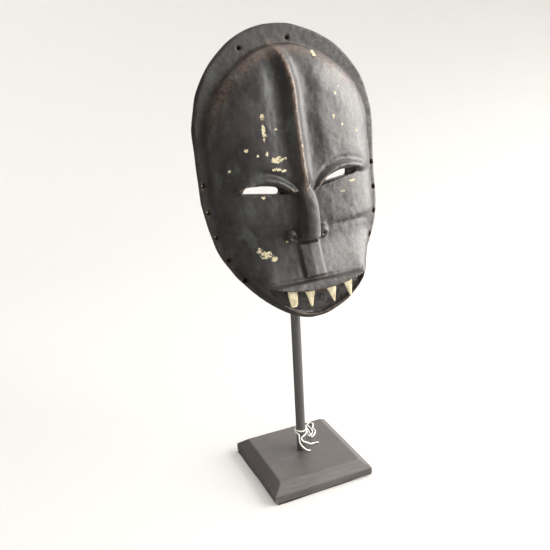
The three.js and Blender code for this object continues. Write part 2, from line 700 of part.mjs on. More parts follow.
function post() {
  const shoulder = BASE_HEIGHT + GAP;
  const foot = FELT_THICKNESS + SPIGOT_CLEAR;
  const profile = [
    [0, foot],
    [SPIGOT_RADIUS, foot],
    [SPIGOT_RADIUS, shoulder],
    [POST_RADIUS, shoulder],
    [POST_RADIUS, POST_TOP - POST_CHAMFER - GAP],
    [POST_RADIUS - POST_CHAMFER, POST_TOP - GAP],
    [0, POST_TOP - GAP],
  ];
  return turned(profile, 32);
}

function stopCollar() {
  const blank = ring(COLLAR_BORE_RADIUS, COLLAR_RADIUS, COLLAR_BOTTOM, COLLAR_TOP);
  const hole = cylinder(COLLAR_SCREW_RADIUS + GAP / 2, 0, COLLAR_RADIUS + OVERCUT, 12);
  return cut(blank, hole.rotateX(-Math.PI / 2).translate(0, 0, COLLAR_SCREW_LEVEL));
}

function collarScrew() {
  const blank = cylinder(COLLAR_SCREW_RADIUS, POST_RADIUS + GAP, COLLAR_RADIUS, 12);
  const depth = 2 * COLLAR_SCREW_SLOT_DEPTH;
  const slot = new THREE.BoxGeometry(COLLAR_SCREW_SLOT_WIDTH, 2 * COLLAR_RADIUS, depth);
  const screw = cut(blank, slot.translate(0, 0, COLLAR_RADIUS));
  return screw.rotateX(-Math.PI / 2).translate(0, 0, COLLAR_SCREW_LEVEL);
}

function restWasher() {
  const bottom = REST_WASHER_TOP - REST_WASHER_THICKNESS;
  return ring(POST_RADIUS + RUNNING_GAP, REST_WASHER_RADIUS, bottom, REST_WASHER_TOP);
}

function postWasher() {
  return ring(SPIGOT_HOLE_RADIUS, POST_WASHER_RADIUS, WASHER_TOP - POST_WASHER_THICKNESS, WASHER_TOP);
}

function postNut() {
  const blank = cylinder(NUT_RADIUS, NUT_TOP - NUT_HEIGHT, NUT_TOP, 6);
  return cut(blank, cylinder(NUT_HOLE_RADIUS, 0, BASE_HEIGHT, 24));
}

// ---- Tag string --------------------------------------------------------------------------------

// A point on a turn round the post: degrees round from the right, and height.
function onPost(angle, z) {
  return [TURN_RADIUS * Math.cos(degrees(angle)), TURN_RADIUS * Math.sin(degrees(angle)), z];
}

// From the first loose end, over the knot, out to the doubled loop, twice round, to the other end.
const LOW = STRING_LEVEL;
const STRING_ROUTE = [
  [16.8, 0.2, LOW], [12, 0.8, LOW], [8.2, -1.8, 17.8], [3.4, -5.2, 22.6],
  [-1.2, -6.2, 26], [-2.2, -5.6, 29], onPost(-75, 30.6), onPost(-40, 31.4), [5.4, 1.2, 31.2],
  [8.2, 5.4, 26.5], [11.2, 9.8, 19.6], [14.6, 13.2, LOW], [18.8, 16.6, LOW],
  [20.6, 21.6, LOW], [20.4, 27, LOW], [20.6, 31, LOW],
  [23.4, 33.6, LOW], [26.2, 31.2, LOW], [25, 27.6, LOW],
  [22.8, 24, LOW], [22.6, 18.6, LOW], [19.6, 13.8, LOW],
  [15.6, 10.8, LOW], [12.2, 7.2, 21], [8.6, 3, 28.6], [5.2, 2.4, 33.4], onPost(70, 34.2),
  onPost(120, 34.6), onPost(170, 34.8), onPost(220, 35), onPost(265, 34.8), onPost(310, 35.2),
  onPost(355, 36), onPost(400, 36.4), onPost(450, 36), onPost(500, 34.6), onPost(545, 33),
  onPost(585, 31.2), [-4.1, -5.2, 28.2], [-3.7, -6, 24], [-1.2, -7.4, 20], [1.8, -7.9, 17],
  [4.8, -8.2, LOW],
];

function tagString() {
  const points = STRING_ROUTE.map(([x, y, z]) => new THREE.Vector3(x, y, z));
  const section = new THREE.Shape();
  for (let i = 0; i <= STRING_SIDES; i++) {
    const angle = (2 * Math.PI * i) / STRING_SIDES;
    const x = (STRING_DIAMETER / 2) * Math.cos(angle);
    const y = (STRING_DIAMETER / 2) * Math.sin(angle);
    if (i === 0) {
      section.moveTo(x, y);
    } else {
      section.lineTo(x, y);
    }
  }
  const extrudePath = new THREE.CatmullRomCurve3(points, false, "centripetal");
  return new THREE.ExtrudeGeometry(section, { extrudePath, steps: STRING_STEPS });
}

// ---- Assembly ----------------------------------------------------------------------------------

const finish = (color, roughness, metalness = 0) => ({ color, roughness, metalness });
const BLACKENED_WOOD = finish("#4b4543", 0.6);
const PALE_WOOD = finish("#cbbd98", 0.7);
const RAW_WOOD = finish("#7a5c40", 0.8);
const BLOCK_PAINT = finish("#5f5855", 0.65);
const BLACK_STEEL = finish("#3b3a39", 0.5, 0.4);
const BRIGHT_STEEL = finish("#9a9a98", 0.35, 1);
const BRASS = finish("#a88a4e", 0.4, 1);
const FELT = finish("#2a2827", 0.95);
const COTTON = finish("#eceae2", 0.9);

function piece(parent, name, geometry, look) {
  const mesh = new THREE.Mesh(geometry, new THREE.MeshStandardMaterial(look));
  mesh.name = name;
  parent.add(mesh);
}

const stand = new THREE.Group();
stand.name = "stand";
piece(stand, "base_block", baseBlock(), BLOCK_PAINT);
piece(stand, "base_felt", baseFelt(), FELT);
piece(stand, "post", post(), BLACK_STEEL);
piece(stand, "post_washer", postWasher(), BRIGHT_STEEL);
piece(stand, "post_nut", postNut(), BRIGHT_STEEL);
piece(stand, "stop_collar", stopCollar(), BLACK_STEEL);
piece(stand, "collar_screw", collarScrew(), BRIGHT_STEEL);
piece(stand, "rest_washer", restWasher(), BRASS);
piece(stand, "tag_string", tagString(), COTTON);

piece(mask, "mask_shell", maskShell(), BLACKENED_WOOD);
piece(mask, "cross_batten", crossBatten(), RAW_WOOD);
piece(mask, "batten_screw_left", battenScrew(-1), BRASS);
piece(mask, "batten_screw_right", battenScrew(1), BRASS);
TOOTH_OFFSETS.forEach((_, i) => {
  piece(mask, `tooth_${i + 1}`, toothGeometry(i, 0), PALE_WOOD);
});

const group = new THREE.Group();
group.name = "mask_on_stand";
group.add(stand, mask);
export default group;
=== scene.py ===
"""A carved and blackened wooden face mask on a display stand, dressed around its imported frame."""

import logging
import math
from dataclasses import dataclass
from enum import Enum
from typing import Callable, Sequence

import bmesh
import bpy
import numpy as np
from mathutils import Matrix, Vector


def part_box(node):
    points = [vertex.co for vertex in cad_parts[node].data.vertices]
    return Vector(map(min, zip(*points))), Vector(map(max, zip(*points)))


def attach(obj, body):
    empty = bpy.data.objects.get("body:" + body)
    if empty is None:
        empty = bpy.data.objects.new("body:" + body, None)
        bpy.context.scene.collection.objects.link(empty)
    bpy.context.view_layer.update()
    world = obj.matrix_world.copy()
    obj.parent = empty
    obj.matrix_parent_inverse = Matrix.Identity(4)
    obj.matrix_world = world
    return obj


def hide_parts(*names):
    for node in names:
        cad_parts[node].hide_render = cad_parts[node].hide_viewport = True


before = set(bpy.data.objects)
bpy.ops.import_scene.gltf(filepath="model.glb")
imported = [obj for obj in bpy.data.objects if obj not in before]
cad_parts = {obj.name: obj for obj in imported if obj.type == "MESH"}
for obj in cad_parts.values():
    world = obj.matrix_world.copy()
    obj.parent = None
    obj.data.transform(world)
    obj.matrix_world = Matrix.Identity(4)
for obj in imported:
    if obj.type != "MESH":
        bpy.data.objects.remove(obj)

import openvdb
from mathutils import Matrix, Vector

LOG = logging.getLogger("mask_on_stand")
MM = 0.001
TURNED_ARRIS, WHITTLED_ARRIS, CUT_ARRIS = 35, 38, 50
CLEARANCE = 0.3
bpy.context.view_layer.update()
Array = np.ndarray
Stations = Sequence[tuple[float, float]]


# ---- Numbers that shapes are made from -------------------------------------------------------


def ramp(x: Array, low: float | Array, high: float | Array) -> Array:
    """A smooth step from 0 at low to 1 at high; low may be above high."""
    t = np.clip((x - low) / (np.asarray(high) - low), 0.0, 1.0)
    return t * t * (3.0 - 2.0 * t)


def quarter(t: Array) -> Array:
    """A quarter-ellipse rise from 0 to 1, steep at first."""
    rest = 1.0 - np.clip(t, 0.0, 1.0)
    return np.sqrt(1.0 - rest * rest)


def bell(x: Array, width: float) -> Array:
    """A smooth bump of height 1 and the given half-width."""
    return np.exp(-((x / width) ** 2))


def mix(a: float | Array, b: float | Array, t: Array) -> Array:
    """The value between a and b at share t."""
    return a + (b - a) * t


def along(stations: Stations, level: Array) -> Array:
    """The value at a level on one smooth curve through stations sorted by level.

    Args:
        stations: (level, value) pairs, lowest level first.
        level: where to read the curve.

    Returns:
        The curve's value, held at the ends.
    """
    x = np.array([s[0] for s in stations], float)
    y = np.array([s[1] for s in stations], float)
    before, after = np.maximum(np.arange(len(x)) - 1, 0), np.minimum(np.arange(len(x)) + 1, len(x) - 1)
    slope = (y[after] - y[before]) / (x[after] - x[before])
    level = np.clip(level, x[0], x[-1])
    i = np.clip(np.searchsorted(x, level) - 1, 0, len(x) - 2)
    span = x[i + 1] - x[i]
    t = (level - x[i]) / span
    rise = (y[i + 1] - y[i]) * t * t * (3 - 2 * t)
    return y[i] + rise + span * t * (1 - t) * ((1 - t) * slope[i] - t * slope[i + 1])


def soft_max(a: Array, b: Array, radius: float) -> Array:
    """The larger of two fields, with the edge between them rounded over a radius."""
    overlap = np.clip(radius - np.abs(a - b), 0.0, None)
    return np.maximum(a, b) + overlap * overlap / (4.0 * radius)


class Grain:
    """Repeatable smooth noise on a plane or in space, from one seed."""

    def __init__(self, seed: int) -> None:
        """Keeps the lattice of random heights that every sample reads."""
        self.lattice = np.random.default_rng(seed).uniform(-1.0, 1.0, (64, 64))

    def sample(self, x: Array, y: Array) -> Array:
        """Smooth noise from -1 to 1, with bumps about one unit apart.

        Args:
            x: places along the first axis.
            y: places along the second.

        Returns:
            The noise at each place.
        """
        i, j = np.floor(x).astype(int), np.floor(y).astype(int)
        s, t = x - i, y - j
        s, t = s * s * (3 - 2 * s), t * t * (3 - 2 * t)
        corner = [[self.lattice[(i + a) % 64, (j + b) % 64] for b in (0, 1)] for a in (0, 1)]
        near = mix(corner[0][0], corner[1][0], s)
        far = mix(corner[0][1], corner[1][1], s)
        return mix(near, far, t)

    def layered(self, x: Array, y: Array, octaves: int = 3) -> Array:
        """Several scales of the noise added together, each half as strong as the one before.

        Args:
            x: places along the first axis.
            y: places along the second.
            octaves: how many scales.

        Returns:
            The noise at each place.
        """
        total = np.zeros(np.broadcast(x, y).shape)
        for k in range(octaves):
            total += self.sample(x * 2.0**k + 17.3 * k, y * 2.0**k + 9.1 * k) / 2.0**k
        return total / 1.75


# ---- Meshes ----------------------------------------------------------------------------------


def linked(name: str, data: bpy.types.ID) -> bpy.types.Object:
    """A new object in the scene that shows the given data.

    Args:
        name: the object's name.
        data: its mesh, light or camera.

    Returns:
        The object.
    """
    thing = bpy.data.objects.new(name, data)
    bpy.context.scene.collection.objects.link(thing)
    return thing


def discard(*pieces: bpy.types.Object) -> None:
    """Removes pieces that were only used to make others."""
    for piece in pieces:
        bpy.data.objects.remove(piece)


def as_object(name: str, points: Array, faces: Sequence[Sequence[int]]) -> bpy.types.Object:
    """A new smooth-shaded mesh object at the origin.

    Args:
        name: the piece's name.
        points: vertex places in the row frame, in metres.
        faces: vertex numbers of each face.

    Returns:
        The linked object.
    """
    mesh = bpy.data.meshes.new(name)
    mesh.from_pydata([tuple(map(float, p)) for p in points], [], [tuple(map(int, f)) for f in faces])
    mesh.validate()
    mesh.update()
    mesh.polygons.foreach_set("use_smooth", [True] * len(mesh.polygons))
    return linked(name, mesh)


def skin(rings: int, count: int, closed: bool = False) -> list[tuple[int, ...]]:
    """Quads between rings that lie one after another in a list of points.

    Args:
        rings: how many rings there are.
        count: points on each ring.
        closed: whether the last ring joins the first.

    Returns:
        The vertex numbers of each quad.
    """
    faces: list[tuple[int, ...]] = []
    for k in range(rings if closed else rings - 1):
        a, b = k * count, (k + 1) % rings * count
        faces += [(a + i, a + (i + 1) % count, b + (i + 1) % count, b + i) for i in range(count)]
    return faces


def facing_out(piece: bpy.types.Object, merge: float = 1e-6) -> bpy.types.Object:
    """Merges doubled vertices and turns every face outwards.

    Args:
        piece: the piece.
        merge: how near vertices merge, in metres.

    Returns:
        The same piece.
    """
    work = bmesh.new()
    work.from_mesh(piece.data)
    bmesh.ops.remove_doubles(work, verts=work.verts, dist=merge)
    bmesh.ops.recalc_face_normals(work, faces=work.faces)
    work.to_mesh(piece.data)
    work.free()
    piece.data.update()
    return piece


def solid_from_field(
    name: str, sample: Callable[[Array, Array, Array], Array], low: Sequence[float],
    high: Sequence[float], voxel: float, place: Callable[[Array], Array],
) -> bpy.types.Object:
    """Meshes the zero level of a distance field that is negative inside the solid.

    Args:
        name: the piece's name.
        sample: the field at three arrays of coordinates, in millimetres.
        low: lowest corner of the space sampled.
        high: highest corner.
        voxel: sampling step, in millimetres.
        place: turns local millimetre points into metres in the row frame.

    Returns:
        The object.
    """
    counts = [int(math.ceil((b - a) / voxel)) + 1 for a, b in zip(low, high)]
    axes = [a + voxel * np.arange(n) for a, n in zip(low, counts)]
    values = sample(axes[0][:, None, None], axes[1][None, :, None], axes[2][None, None, :])
    values = np.clip(np.broadcast_to(values, counts), -3 * voxel, 3 * voxel).astype(np.float32)
    grid = openvdb.FloatGrid(3 * voxel)
    grid.copyFromArray(np.ascontiguousarray(values))
    points, quads = grid.convertToQuads()
    local = np.asarray(points, float) * voxel + np.array(low)
    return facing_out(as_object(name, place(local), np.asarray(quads)))


def vertex_places(piece: bpy.types.Object) -> Array:
    """Every vertex of a piece, in metres.

    Args:
        piece: the piece.

    Returns:
        One row for each vertex.
    """
    places = np.empty(len(piece.data.vertices) * 3, np.float32)
    piece.data.vertices.foreach_get("co", places)
    return places.reshape(-1, 3).astype(float)


def move_vertices(piece: bpy.types.Object, places: Array) -> None:
    """Puts a piece's vertices in new places, in metres."""
    piece.data.vertices.foreach_set("co", np.ascontiguousarray(places, np.float32).ravel())
    piece.data.update()


def vertex_normals(piece: bpy.types.Object) -> Array:
    """Every vertex's normal.

    Args:
        piece: the piece.

    Returns:
        One row for each vertex.
    """
    normals = np.empty(len(piece.data.vertices) * 3, np.float32)
    piece.data.vertex_normals.foreach_get("vector", normals)
    return normals.reshape(-1, 3).astype(float)


def convexity(piece: bpy.types.Object, spread: int) -> Array:
    """How far each vertex stands out from its neighbours, in millimetres, evened out spread times.

    Args:
        piece: a piece whose vertices are evenly spaced.
        spread: how often the result is evened out.

    Returns:
        One number for each vertex, positive on a ridge.
    """
    edges = np.empty(len(piece.data.edges) * 2, np.int32)
    piece.data.edges.foreach_get("vertices", edges)
    a, b = edges.reshape(-1, 2).T
    count = len(piece.data.vertices)
    degree = np.bincount(a, minlength=count) + np.bincount(b, minlength=count)

    def neighbours(values: Array) -> Array:
        """The mean over each vertex's neighbours."""
        total = np.bincount(a, values[b], count) + np.bincount(b, values[a], count)
        return total / np.maximum(degree, 1)

    places = vertex_places(piece)
    mean = np.stack([neighbours(places[:, k]) for k in range(3)], 1)
    out = np.einsum("ij,ij->i", places - mean, vertex_normals(piece)) / MM
    for _ in range(spread):
        out = 0.5 * out + 0.5 * neighbours(out)
    return out


def box_mm(node: str) -> tuple[Array, Array]:
    """A CAD node's lowest and highest corners, in millimetres."""
    low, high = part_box(node)
    return np.array(low) / MM, np.array(high) / MM


def block(x: float, y: float, z: float) -> tuple[Array, list[tuple[int, ...]]]:
    """Corners in metres and faces of a block of the given millimetre sizes about the origin.

    Args:
        x: size across.
        y: size from front to back.
        z: height.

    Returns:
        The corners, and the corner numbers of each face.
    """
    corners = [(sx * x / 2, sy * y / 2, sz * z / 2) for sx in (-1, 1) for sy in (-1, 1) for sz in (-1, 1)]
    faces = [(0, 1, 3, 2), (4, 6, 7, 5), (0, 4, 5, 1), (2, 3, 7, 6), (0, 2, 6, 4), (1, 5, 7, 3)]
    return np.array(corners) * MM, faces


def evaluated(piece: bpy.types.Object, name: str) -> bpy.types.Object:
    """A plain mesh object of what a piece's modifiers make.

    Args:
        piece: a piece with modifiers.
        name: the new piece's name.

    Returns:
        The new piece.
    """
    graph = bpy.context.evaluated_depsgraph_get()
    mesh = bpy.data.meshes.new_from_object(piece.evaluated_get(graph))
    mesh.name = name
    return linked(name, mesh)


def thinned(piece: bpy.types.Object, chosen: Array, share: float) -> bpy.types.Object:
    """The piece with fewer faces where its vertices are chosen, so that share of all faces is left.

    Args:
        piece: the piece, which is removed.
        chosen: for each vertex, whether faces may go there.
        share: share of all faces that is kept.

    Returns:
        The new piece, under the old name.
    """
    name = piece.name
    group = piece.vertex_groups.new(name="thin")
    group.add([int(i) for i in np.nonzero(chosen)[0]], 1.0, "REPLACE")
    modifier = piece.modifiers.new("thin", "DECIMATE")
    modifier.ratio, modifier.vertex_group = share, group.name
    piece.name = name + "_whole"
    out = evaluated(piece, name)
    discard(piece)
    return out


def grow(piece: bpy.types.Object, tree: bpy.types.NodeTree, values: dict[str, object]) -> None:
    """Adds a node tree as a modifier and fills its named inputs.

    Args:
        piece: the piece.
        tree: the node tree.
        values: what each named input is given.
    """
    modifier = piece.modifiers.new(tree.name, "NODES")
    modifier.node_group = tree
    for item in tree.interface.items_tree:
        if item.name in values:
            modifier[item.identifier] = values[item.name]


def node_tree(name: str, output: str, **inputs: str) -> tuple[bpy.types.NodeTree, "Nodes"]:
    """A new Geometry Nodes tree with named inputs and one geometry output.

    Args:
        name: the tree's name.
        output: the output's name.
        inputs: each input's name, with _ for a space, and its kind of socket.

    Returns:
        The tree, and what adds nodes to it.
    """
    tree = bpy.data.node_groups.new(name, "GeometryNodeTree")
    for key, kind in inputs.items():
        label = key.replace("_", " ")
        tree.interface.new_socket(name=label, in_out="INPUT", socket_type="NodeSocket" + kind)
    tree.interface.new_socket(name=output, in_out="OUTPUT", socket_type="NodeSocketGeometry")
    return tree, Nodes(tree)


def set_out(
    spots: bpy.types.Object, shape: bpy.types.Object, material: bpy.types.Material, name: str
) -> bpy.types.Object:
    """One shape repeated at every vertex of spots, as a plain mesh.

    Args:
        spots: a piece whose vertices are the places; it is removed.
        shape: the piece repeated; it is removed.
        material: what the copies are made of.
        name: the new piece's name.

    Returns:
        The new piece.
    """
    tree, n = node_tree("set_out", "Copies", Spots="Geometry", Shape="Object", Material="Material")
    given = n.add("NodeGroupInput").outputs
    points = n.add("GeometryNodeMeshToPoints", Mesh=given["Spots"])
    model = n.add("GeometryNodeObjectInfo", Object=given["Shape"])
    copies = n.add("GeometryNodeInstanceOnPoints", Points=points, Instance=model.outputs["Geometry"])
    real = n.add("GeometryNodeRealizeInstances", Geometry=copies)
    dressed = n.add("GeometryNodeSetMaterial", Geometry=real, Material=given["Material"])
    n.add("NodeGroupOutput", Copies=dressed)
    spots.name = name + "_spots"
    grow(spots, tree, {"Shape": shape, "Material": material})
    piece = evaluated(spots, name)
    discard(spots, shape)
    return piece


def attribute(piece: bpy.types.Object, name: str, values: Array) -> None:
    """Stores one number per vertex for the piece's material to read."""
    layer = piece.data.attributes.new(name, "FLOAT", "POINT")
    layer.data.foreach_set("value", np.ascontiguousarray(values, np.float32))


def turned(name: str, profile: Sequence[tuple[float, float]], sides: int = 96) -> bpy.types.Object:
    """A solid of revolution about the post's axis.

    Args:
        name: the piece's name.
        profile: closed loop of (radius, height) in millimetres; radius 0 is the axis.
        sides: faces round the turn.

    Returns:
        The object, its doubles merged and its faces outwards.
    """
    rings = []
    for k in range(sides):
        angle = 2 * math.pi * k / sides
        rings += [(r * math.cos(angle) * MM, r * math.sin(angle) * MM, z * MM) for r, z in profile]
    piece = facing_out(as_object(name, np.array(rings), skin(sides, len(profile), closed=True)))
    piece.data.set_sharp_from_angle(angle=math.radians(TURNED_ARRIS))
    return piece


def eased(corners: Sequence[tuple[float, float]], radius: float, steps: int = 3) -> list[tuple[float, float]]:
    """A closed outline with each corner off the axis replaced by a small curve.

    Args:
        corners: (radius, height) round the loop.
        radius: how far from a corner its curve starts.
        steps: how many steps a curve takes.

    Returns:
        The outline, with more points.
    """
    out: list[tuple[float, float]] = []
    count = len(corners)
    for i, corner in enumerate(corners):
        here = np.array(corner, float)
        if corner[0] == 0:
            out.append(corner)
            continue
        before, after = np.array(corners[i - 1], float), np.array(corners[(i + 1) % count], float)
        reach = min(radius, 0.45 * np.linalg.norm(before - here), 0.45 * np.linalg.norm(after - here))
        start = here + (before - here) / np.linalg.norm(before - here) * reach
        end = here + (after - here) / np.linalg.norm(after - here) * reach
        for k in range(steps + 1):
            t = k / steps
            point = (1 - t) ** 2 * start + 2 * t * (1 - t) * here + t * t * end
            out.append((float(point[0]), float(point[1])))
    return out


# ---- Materials -------------------------------------------------------------------------------


def linear(hex_colour: str) -> tuple[float, float, float, float]:
    """An sRGB colour such as #4b4543 as linear RGBA.

    Args:
        hex_colour: the colour.

    Returns:
        Red, green, blue and alpha.
    """
    channels = [int(hex_colour[i : i + 2], 16) / 255 for i in (1, 3, 5)]
    flat = [c / 12.92 if c <= 0.04045 else ((c + 0.055) / 1.055) ** 2.4 for c in channels]
    return (flat[0], flat[1], flat[2], 1.0)


@dataclass
class Nodes:
    """A node tree being built, with the one call that adds to it."""

    tree: bpy.types.NodeTree

    def add(self, kind: str, settings: dict[str, object] | None = None, **inputs: object) -> bpy.types.Node:
        """Adds a node, sets its properties and fills or links its inputs.

        Args:
            kind: the node's type name.
            settings: its properties.
            inputs: input name, with _ for a space, or in1, in2 for a place: a value, a node or a socket.

        Returns:
            The node.
        """
        node = self.tree.nodes.new(kind)
        for key, value in (settings or {}).items():
            setattr(node, key, value)
        for key, value in inputs.items():
            number = key[2:] if key.startswith("in") and key[2:].isdigit() else ""
            socket = node.inputs[int(number)] if number else node.inputs[key.replace("_", " ")]
            if isinstance(value, bpy.types.Node):
                value = value.outputs[0]
            if isinstance(value, bpy.types.NodeSocket):
                self.tree.links.new(value, socket)
            else:
                socket.default_value = value
        return node

    def place(self, stretch: Sequence[float] = (1.0, 1.0, 1.0)) -> bpy.types.Node:
        """Object coordinates in metres, drawn out along an axis where its factor is under 1."""
        origin = self.add("ShaderNodeTexCoord").outputs["Object"]
        return self.add("ShaderNodeMapping", Vector=origin, Scale=stretch)

    def noise(
        self, place: object, size_mm: float, detail: float = 4.0, rough: float = 0.55
    ) -> bpy.types.NodeSocket:
        """Noise of a real size.

        Args:
            place: coordinates in metres.
            size_mm: about how far across its blotches are.
            detail: how many finer scales are laid over them.
            rough: how strong the finer scales are.

        Returns:
            The noise, from 0 to 1.
        """
        scale = 1 / (size_mm * MM)
        node = self.add("ShaderNodeTexNoise", Vector=place, Scale=scale, Detail=detail, Roughness=rough)
        return node.outputs["Fac"]

    def share(self, name: str) -> bpy.types.NodeSocket:
        """A number stored on the piece's vertices."""
        return self.add("ShaderNodeAttribute", {"attribute_name": name}).outputs["Fac"]

    def ramp(self, factor: object, *stops: tuple[float, str]) -> bpy.types.NodeSocket:
        """A colour ramp through (place, sRGB hex) stops.

        Args:
            factor: where on the ramp, from 0 to 1.
            stops: the colours and their places.

        Returns:
            The colour.
        """
        node = self.add("ShaderNodeValToRGB", in0=factor)
        while len(node.color_ramp.elements) < len(stops):
            node.color_ramp.elements.new(0.5)
        for element, (place, colour) in zip(node.color_ramp.elements, stops):
            element.position = place
            element.color = linear(colour)
        return node.outputs["Color"]

    def blend(self, factor: object, a: object, b: object) -> bpy.types.NodeSocket:
        """Mixes two colours, each a socket or an sRGB hex, by a factor.

        Args:
            factor: 0 for the first colour, 1 for the second.
            a: the first colour.
            b: the second colour.

        Returns:
            The colour between them.
        """
        a, b = (linear(c) if isinstance(c, str) else c for c in (a, b))
        node = self.add("ShaderNodeMix", {"data_type": "RGBA"}, in0=factor, in6=a, in7=b)
        return node.outputs[2]

    def maths(self, operation: str, a: object, b: object = 0.5) -> bpy.types.NodeSocket:
        """One step of arithmetic."""
        return self.add("ShaderNodeMath", {"operation": operation}, in0=a, in1=b).outputs[0]

    def between(
        self, value: object, low: float, high: float, to_low: float = 0.0, to_high: float = 1.0
    ) -> bpy.types.NodeSocket:
        """A value mapped smoothly from one range to another, and held at the ends.

        Args:
            value: the value.
            low: where the range starts.
            high: where it ends.
            to_low: what low becomes.
            to_high: what high becomes.

        Returns:
            The new value.
        """
        ranges = {"in0": value, "in1": low, "in2": high, "in3": to_low, "in4": to_high}
        return self.add("ShaderNodeMapRange", {"interpolation_type": "SMOOTHSTEP"}, **ranges).outputs[0]


@dataclass(frozen=True)
class Finish:
    """What every finish has: a name, and a shader whose sockets its own paint method fills."""

    name: str

    def paint(self, n: Nodes) -> dict[str, object]:
        """The shader inputs of this finish: a value, or a socket where a pattern drives it."""
        raise NotImplementedError

    def build(self) -> bpy.types.Material:
        """Makes the material.

        Returns:
            The material.
        """
        material = bpy.data.materials.new(self.name)
        material.use_nodes = True
        nodes = Nodes(material.node_tree)
        shader = next(n for n in material.node_tree.nodes if n.type == "BSDF_PRINCIPLED")
        for socket, value in self.paint(nodes).items():
            if isinstance(value, bpy.types.NodeSocket):
                nodes.tree.links.new(value, shader.inputs[socket])
            else:
                shader.inputs[socket].default_value = value
        return material


@dataclass(frozen=True)
class BlackenedHardwood(Finish):
    """Close-grained hardwood, carved with a gouge, blackened with soot and rubbed to a dull wax.

    The eye sees near-black with blue-grey and green-grey mottling, dust where the knife left marks,
    speckled dust, lightened further over the right half and the jaw as painted light, ochre raw wood where
    flakes have come off, brown wear along the ridge and pale nicks on the arrises.
    """

    dark: str = "#2c2a2a"
    brown: str = "#393534"
    # dust colour; also laid over the right half and the jaw as painted light
    cool: str = "#434746"
    dust_and_sheen: str = "#6b6765"
    rubbed: str = "#8c7564"
    raw: str = "#cdc3a0"
    back: str = "#4a3a2d"
    flange: str = "#232121"
    grain_mm: float = 1.4
    blotch_mm: float = 26.0
    speck_mm: float = 2.6
    fleck_mm: float = 1.1
    scratch_mm: float = 1.8

    def paint(self, n: Nodes) -> dict[str, object]:
        """Patina, dust with painted light on the right half and the jaw, wear, flakes, and bare wood inside.

        Args:
            n: the material's nodes.

        Returns:
            The shader's inputs by name.
        """
        place = n.place()
        grain = n.noise(n.place((1.0, 1.0, 0.14)), self.grain_mm)
        blotch = n.noise(place, self.blotch_mm, 6.0, 0.62)
        cloud = n.noise(n.place((1.3, 1.3, 0.8)), self.blotch_mm * 0.6, 5.0, 0.6)
        speck = n.noise(place, self.speck_mm, 5.0, 0.7)
        scratch = n.noise(n.place((3.0, 1.0, 0.35)), self.scratch_mm, 2.0)
        colour = n.blend(n.between(blotch, 0.42, 0.62), self.dark, self.brown)
        colour = n.blend(n.between(cloud, 0.52, 0.68, 0.0, 0.75), colour, self.cool)
        # painted light: this share lightens the right half and the jaw as if lit from the right, besides real
        # dust
        dust_and_lit_side = n.maths("MULTIPLY", n.share("dusty"), n.between(speck, 0.36, 0.66))
        colour = n.blend(dust_and_lit_side, colour, self.dust_and_sheen)
        colour = n.blend(n.between(scratch, 0.67, 0.74, 0.0, 0.35), colour, self.dust_and_sheen)
        rim = n.share("rim")
        colour = n.blend(n.maths("MULTIPLY", rim, n.between(speck, 0.3, 0.6, 0.8, 0.3)), colour, self.flange)
        patchy = n.maths("MULTIPLY", n.share("rubbed"), n.between(speck, 0.34, 0.56))
        colour = n.blend(patchy, colour, n.ramp(grain, (0.3, "#5b4a40"), (0.7, self.rubbed)))
        fleck = n.noise(place, self.fleck_mm, 3.0)
        ragged = n.maths("MULTIPLY", n.maths("SUBTRACT", n.maths("ADD", speck, fleck), 1.0), 2.6)
        ragged = n.maths("MULTIPLY", ragged, n.maths("ADD", n.share("flaked"), 0.12))
        flaked = n.between(n.maths("ADD", n.share("flaked"), ragged), 0.5, 0.58)
        colour = n.blend(flaked, colour, n.ramp(grain, (0.3, "#9d8a62"), (0.5, self.raw), (0.8, "#e6dfc8")))
        bare = n.ramp(grain, (0.3, "#33271e"), (0.65, self.back))
        inside = n.share("inside")
        colour = n.blend(inside, colour, bare)
        dull = n.maths("MAXIMUM", n.maths("MULTIPLY", flaked, 0.8), n.maths("MULTIPLY", inside, 0.75))
        dull = n.maths("ADD", dull, n.maths("MULTIPLY", rim, 0.5))
        gloss = n.maths("ADD", n.between(cloud, 0.3, 0.7, 0.3, 0.42), n.maths("MULTIPLY", dull, 0.4))
        height = n.maths("ADD", n.maths("MULTIPLY", grain, 0.3), n.maths("MULTIPLY", speck, 0.7))
        height = n.maths("SUBTRACT", height, n.maths("MULTIPLY", flaked, 0.9))
        bump = n.add("ShaderNodeBump", Height=height, Strength=0.3, Distance=0.4 * MM).outputs[0]
        return {"Base Color": colour, "Roughness": gloss, "Normal": bump, "IOR": 1.52}


@dataclass(frozen=True)
class BareWood(Finish):
    """Bare wood cut with a knife or a saw: matt, with long fibres and blotches of dirt."""

    light: str
    dark: str
    dirt: str
    fibre_mm: float = 0.8
    stretch: tuple[float, float, float] = (1.0, 1.0, 0.12)

    def paint(self, n: Nodes) -> dict[str, object]:
        """Fibres, and blotches of dirt.

        Args:
            n: the material's nodes.

        Returns:
            The shader's inputs by name.
        """
        grain = n.noise(n.place(self.stretch), self.fibre_mm, 5.0)
        stain = n.noise(n.place(), 5.0, 4.0)
        colour = n.ramp(grain, (0.35, self.dark), (0.62, self.light))
        colour = n.blend(n.between(stain, 0.5, 0.66, 0.0, 0.6), colour, self.dirt)
        bump = n.add("ShaderNodeBump", Height=grain, Strength=0.5, Distance=0.15 * MM).outputs[0]
        return {"Base Color": colour, "Roughness": 0.72, "Normal": bump}


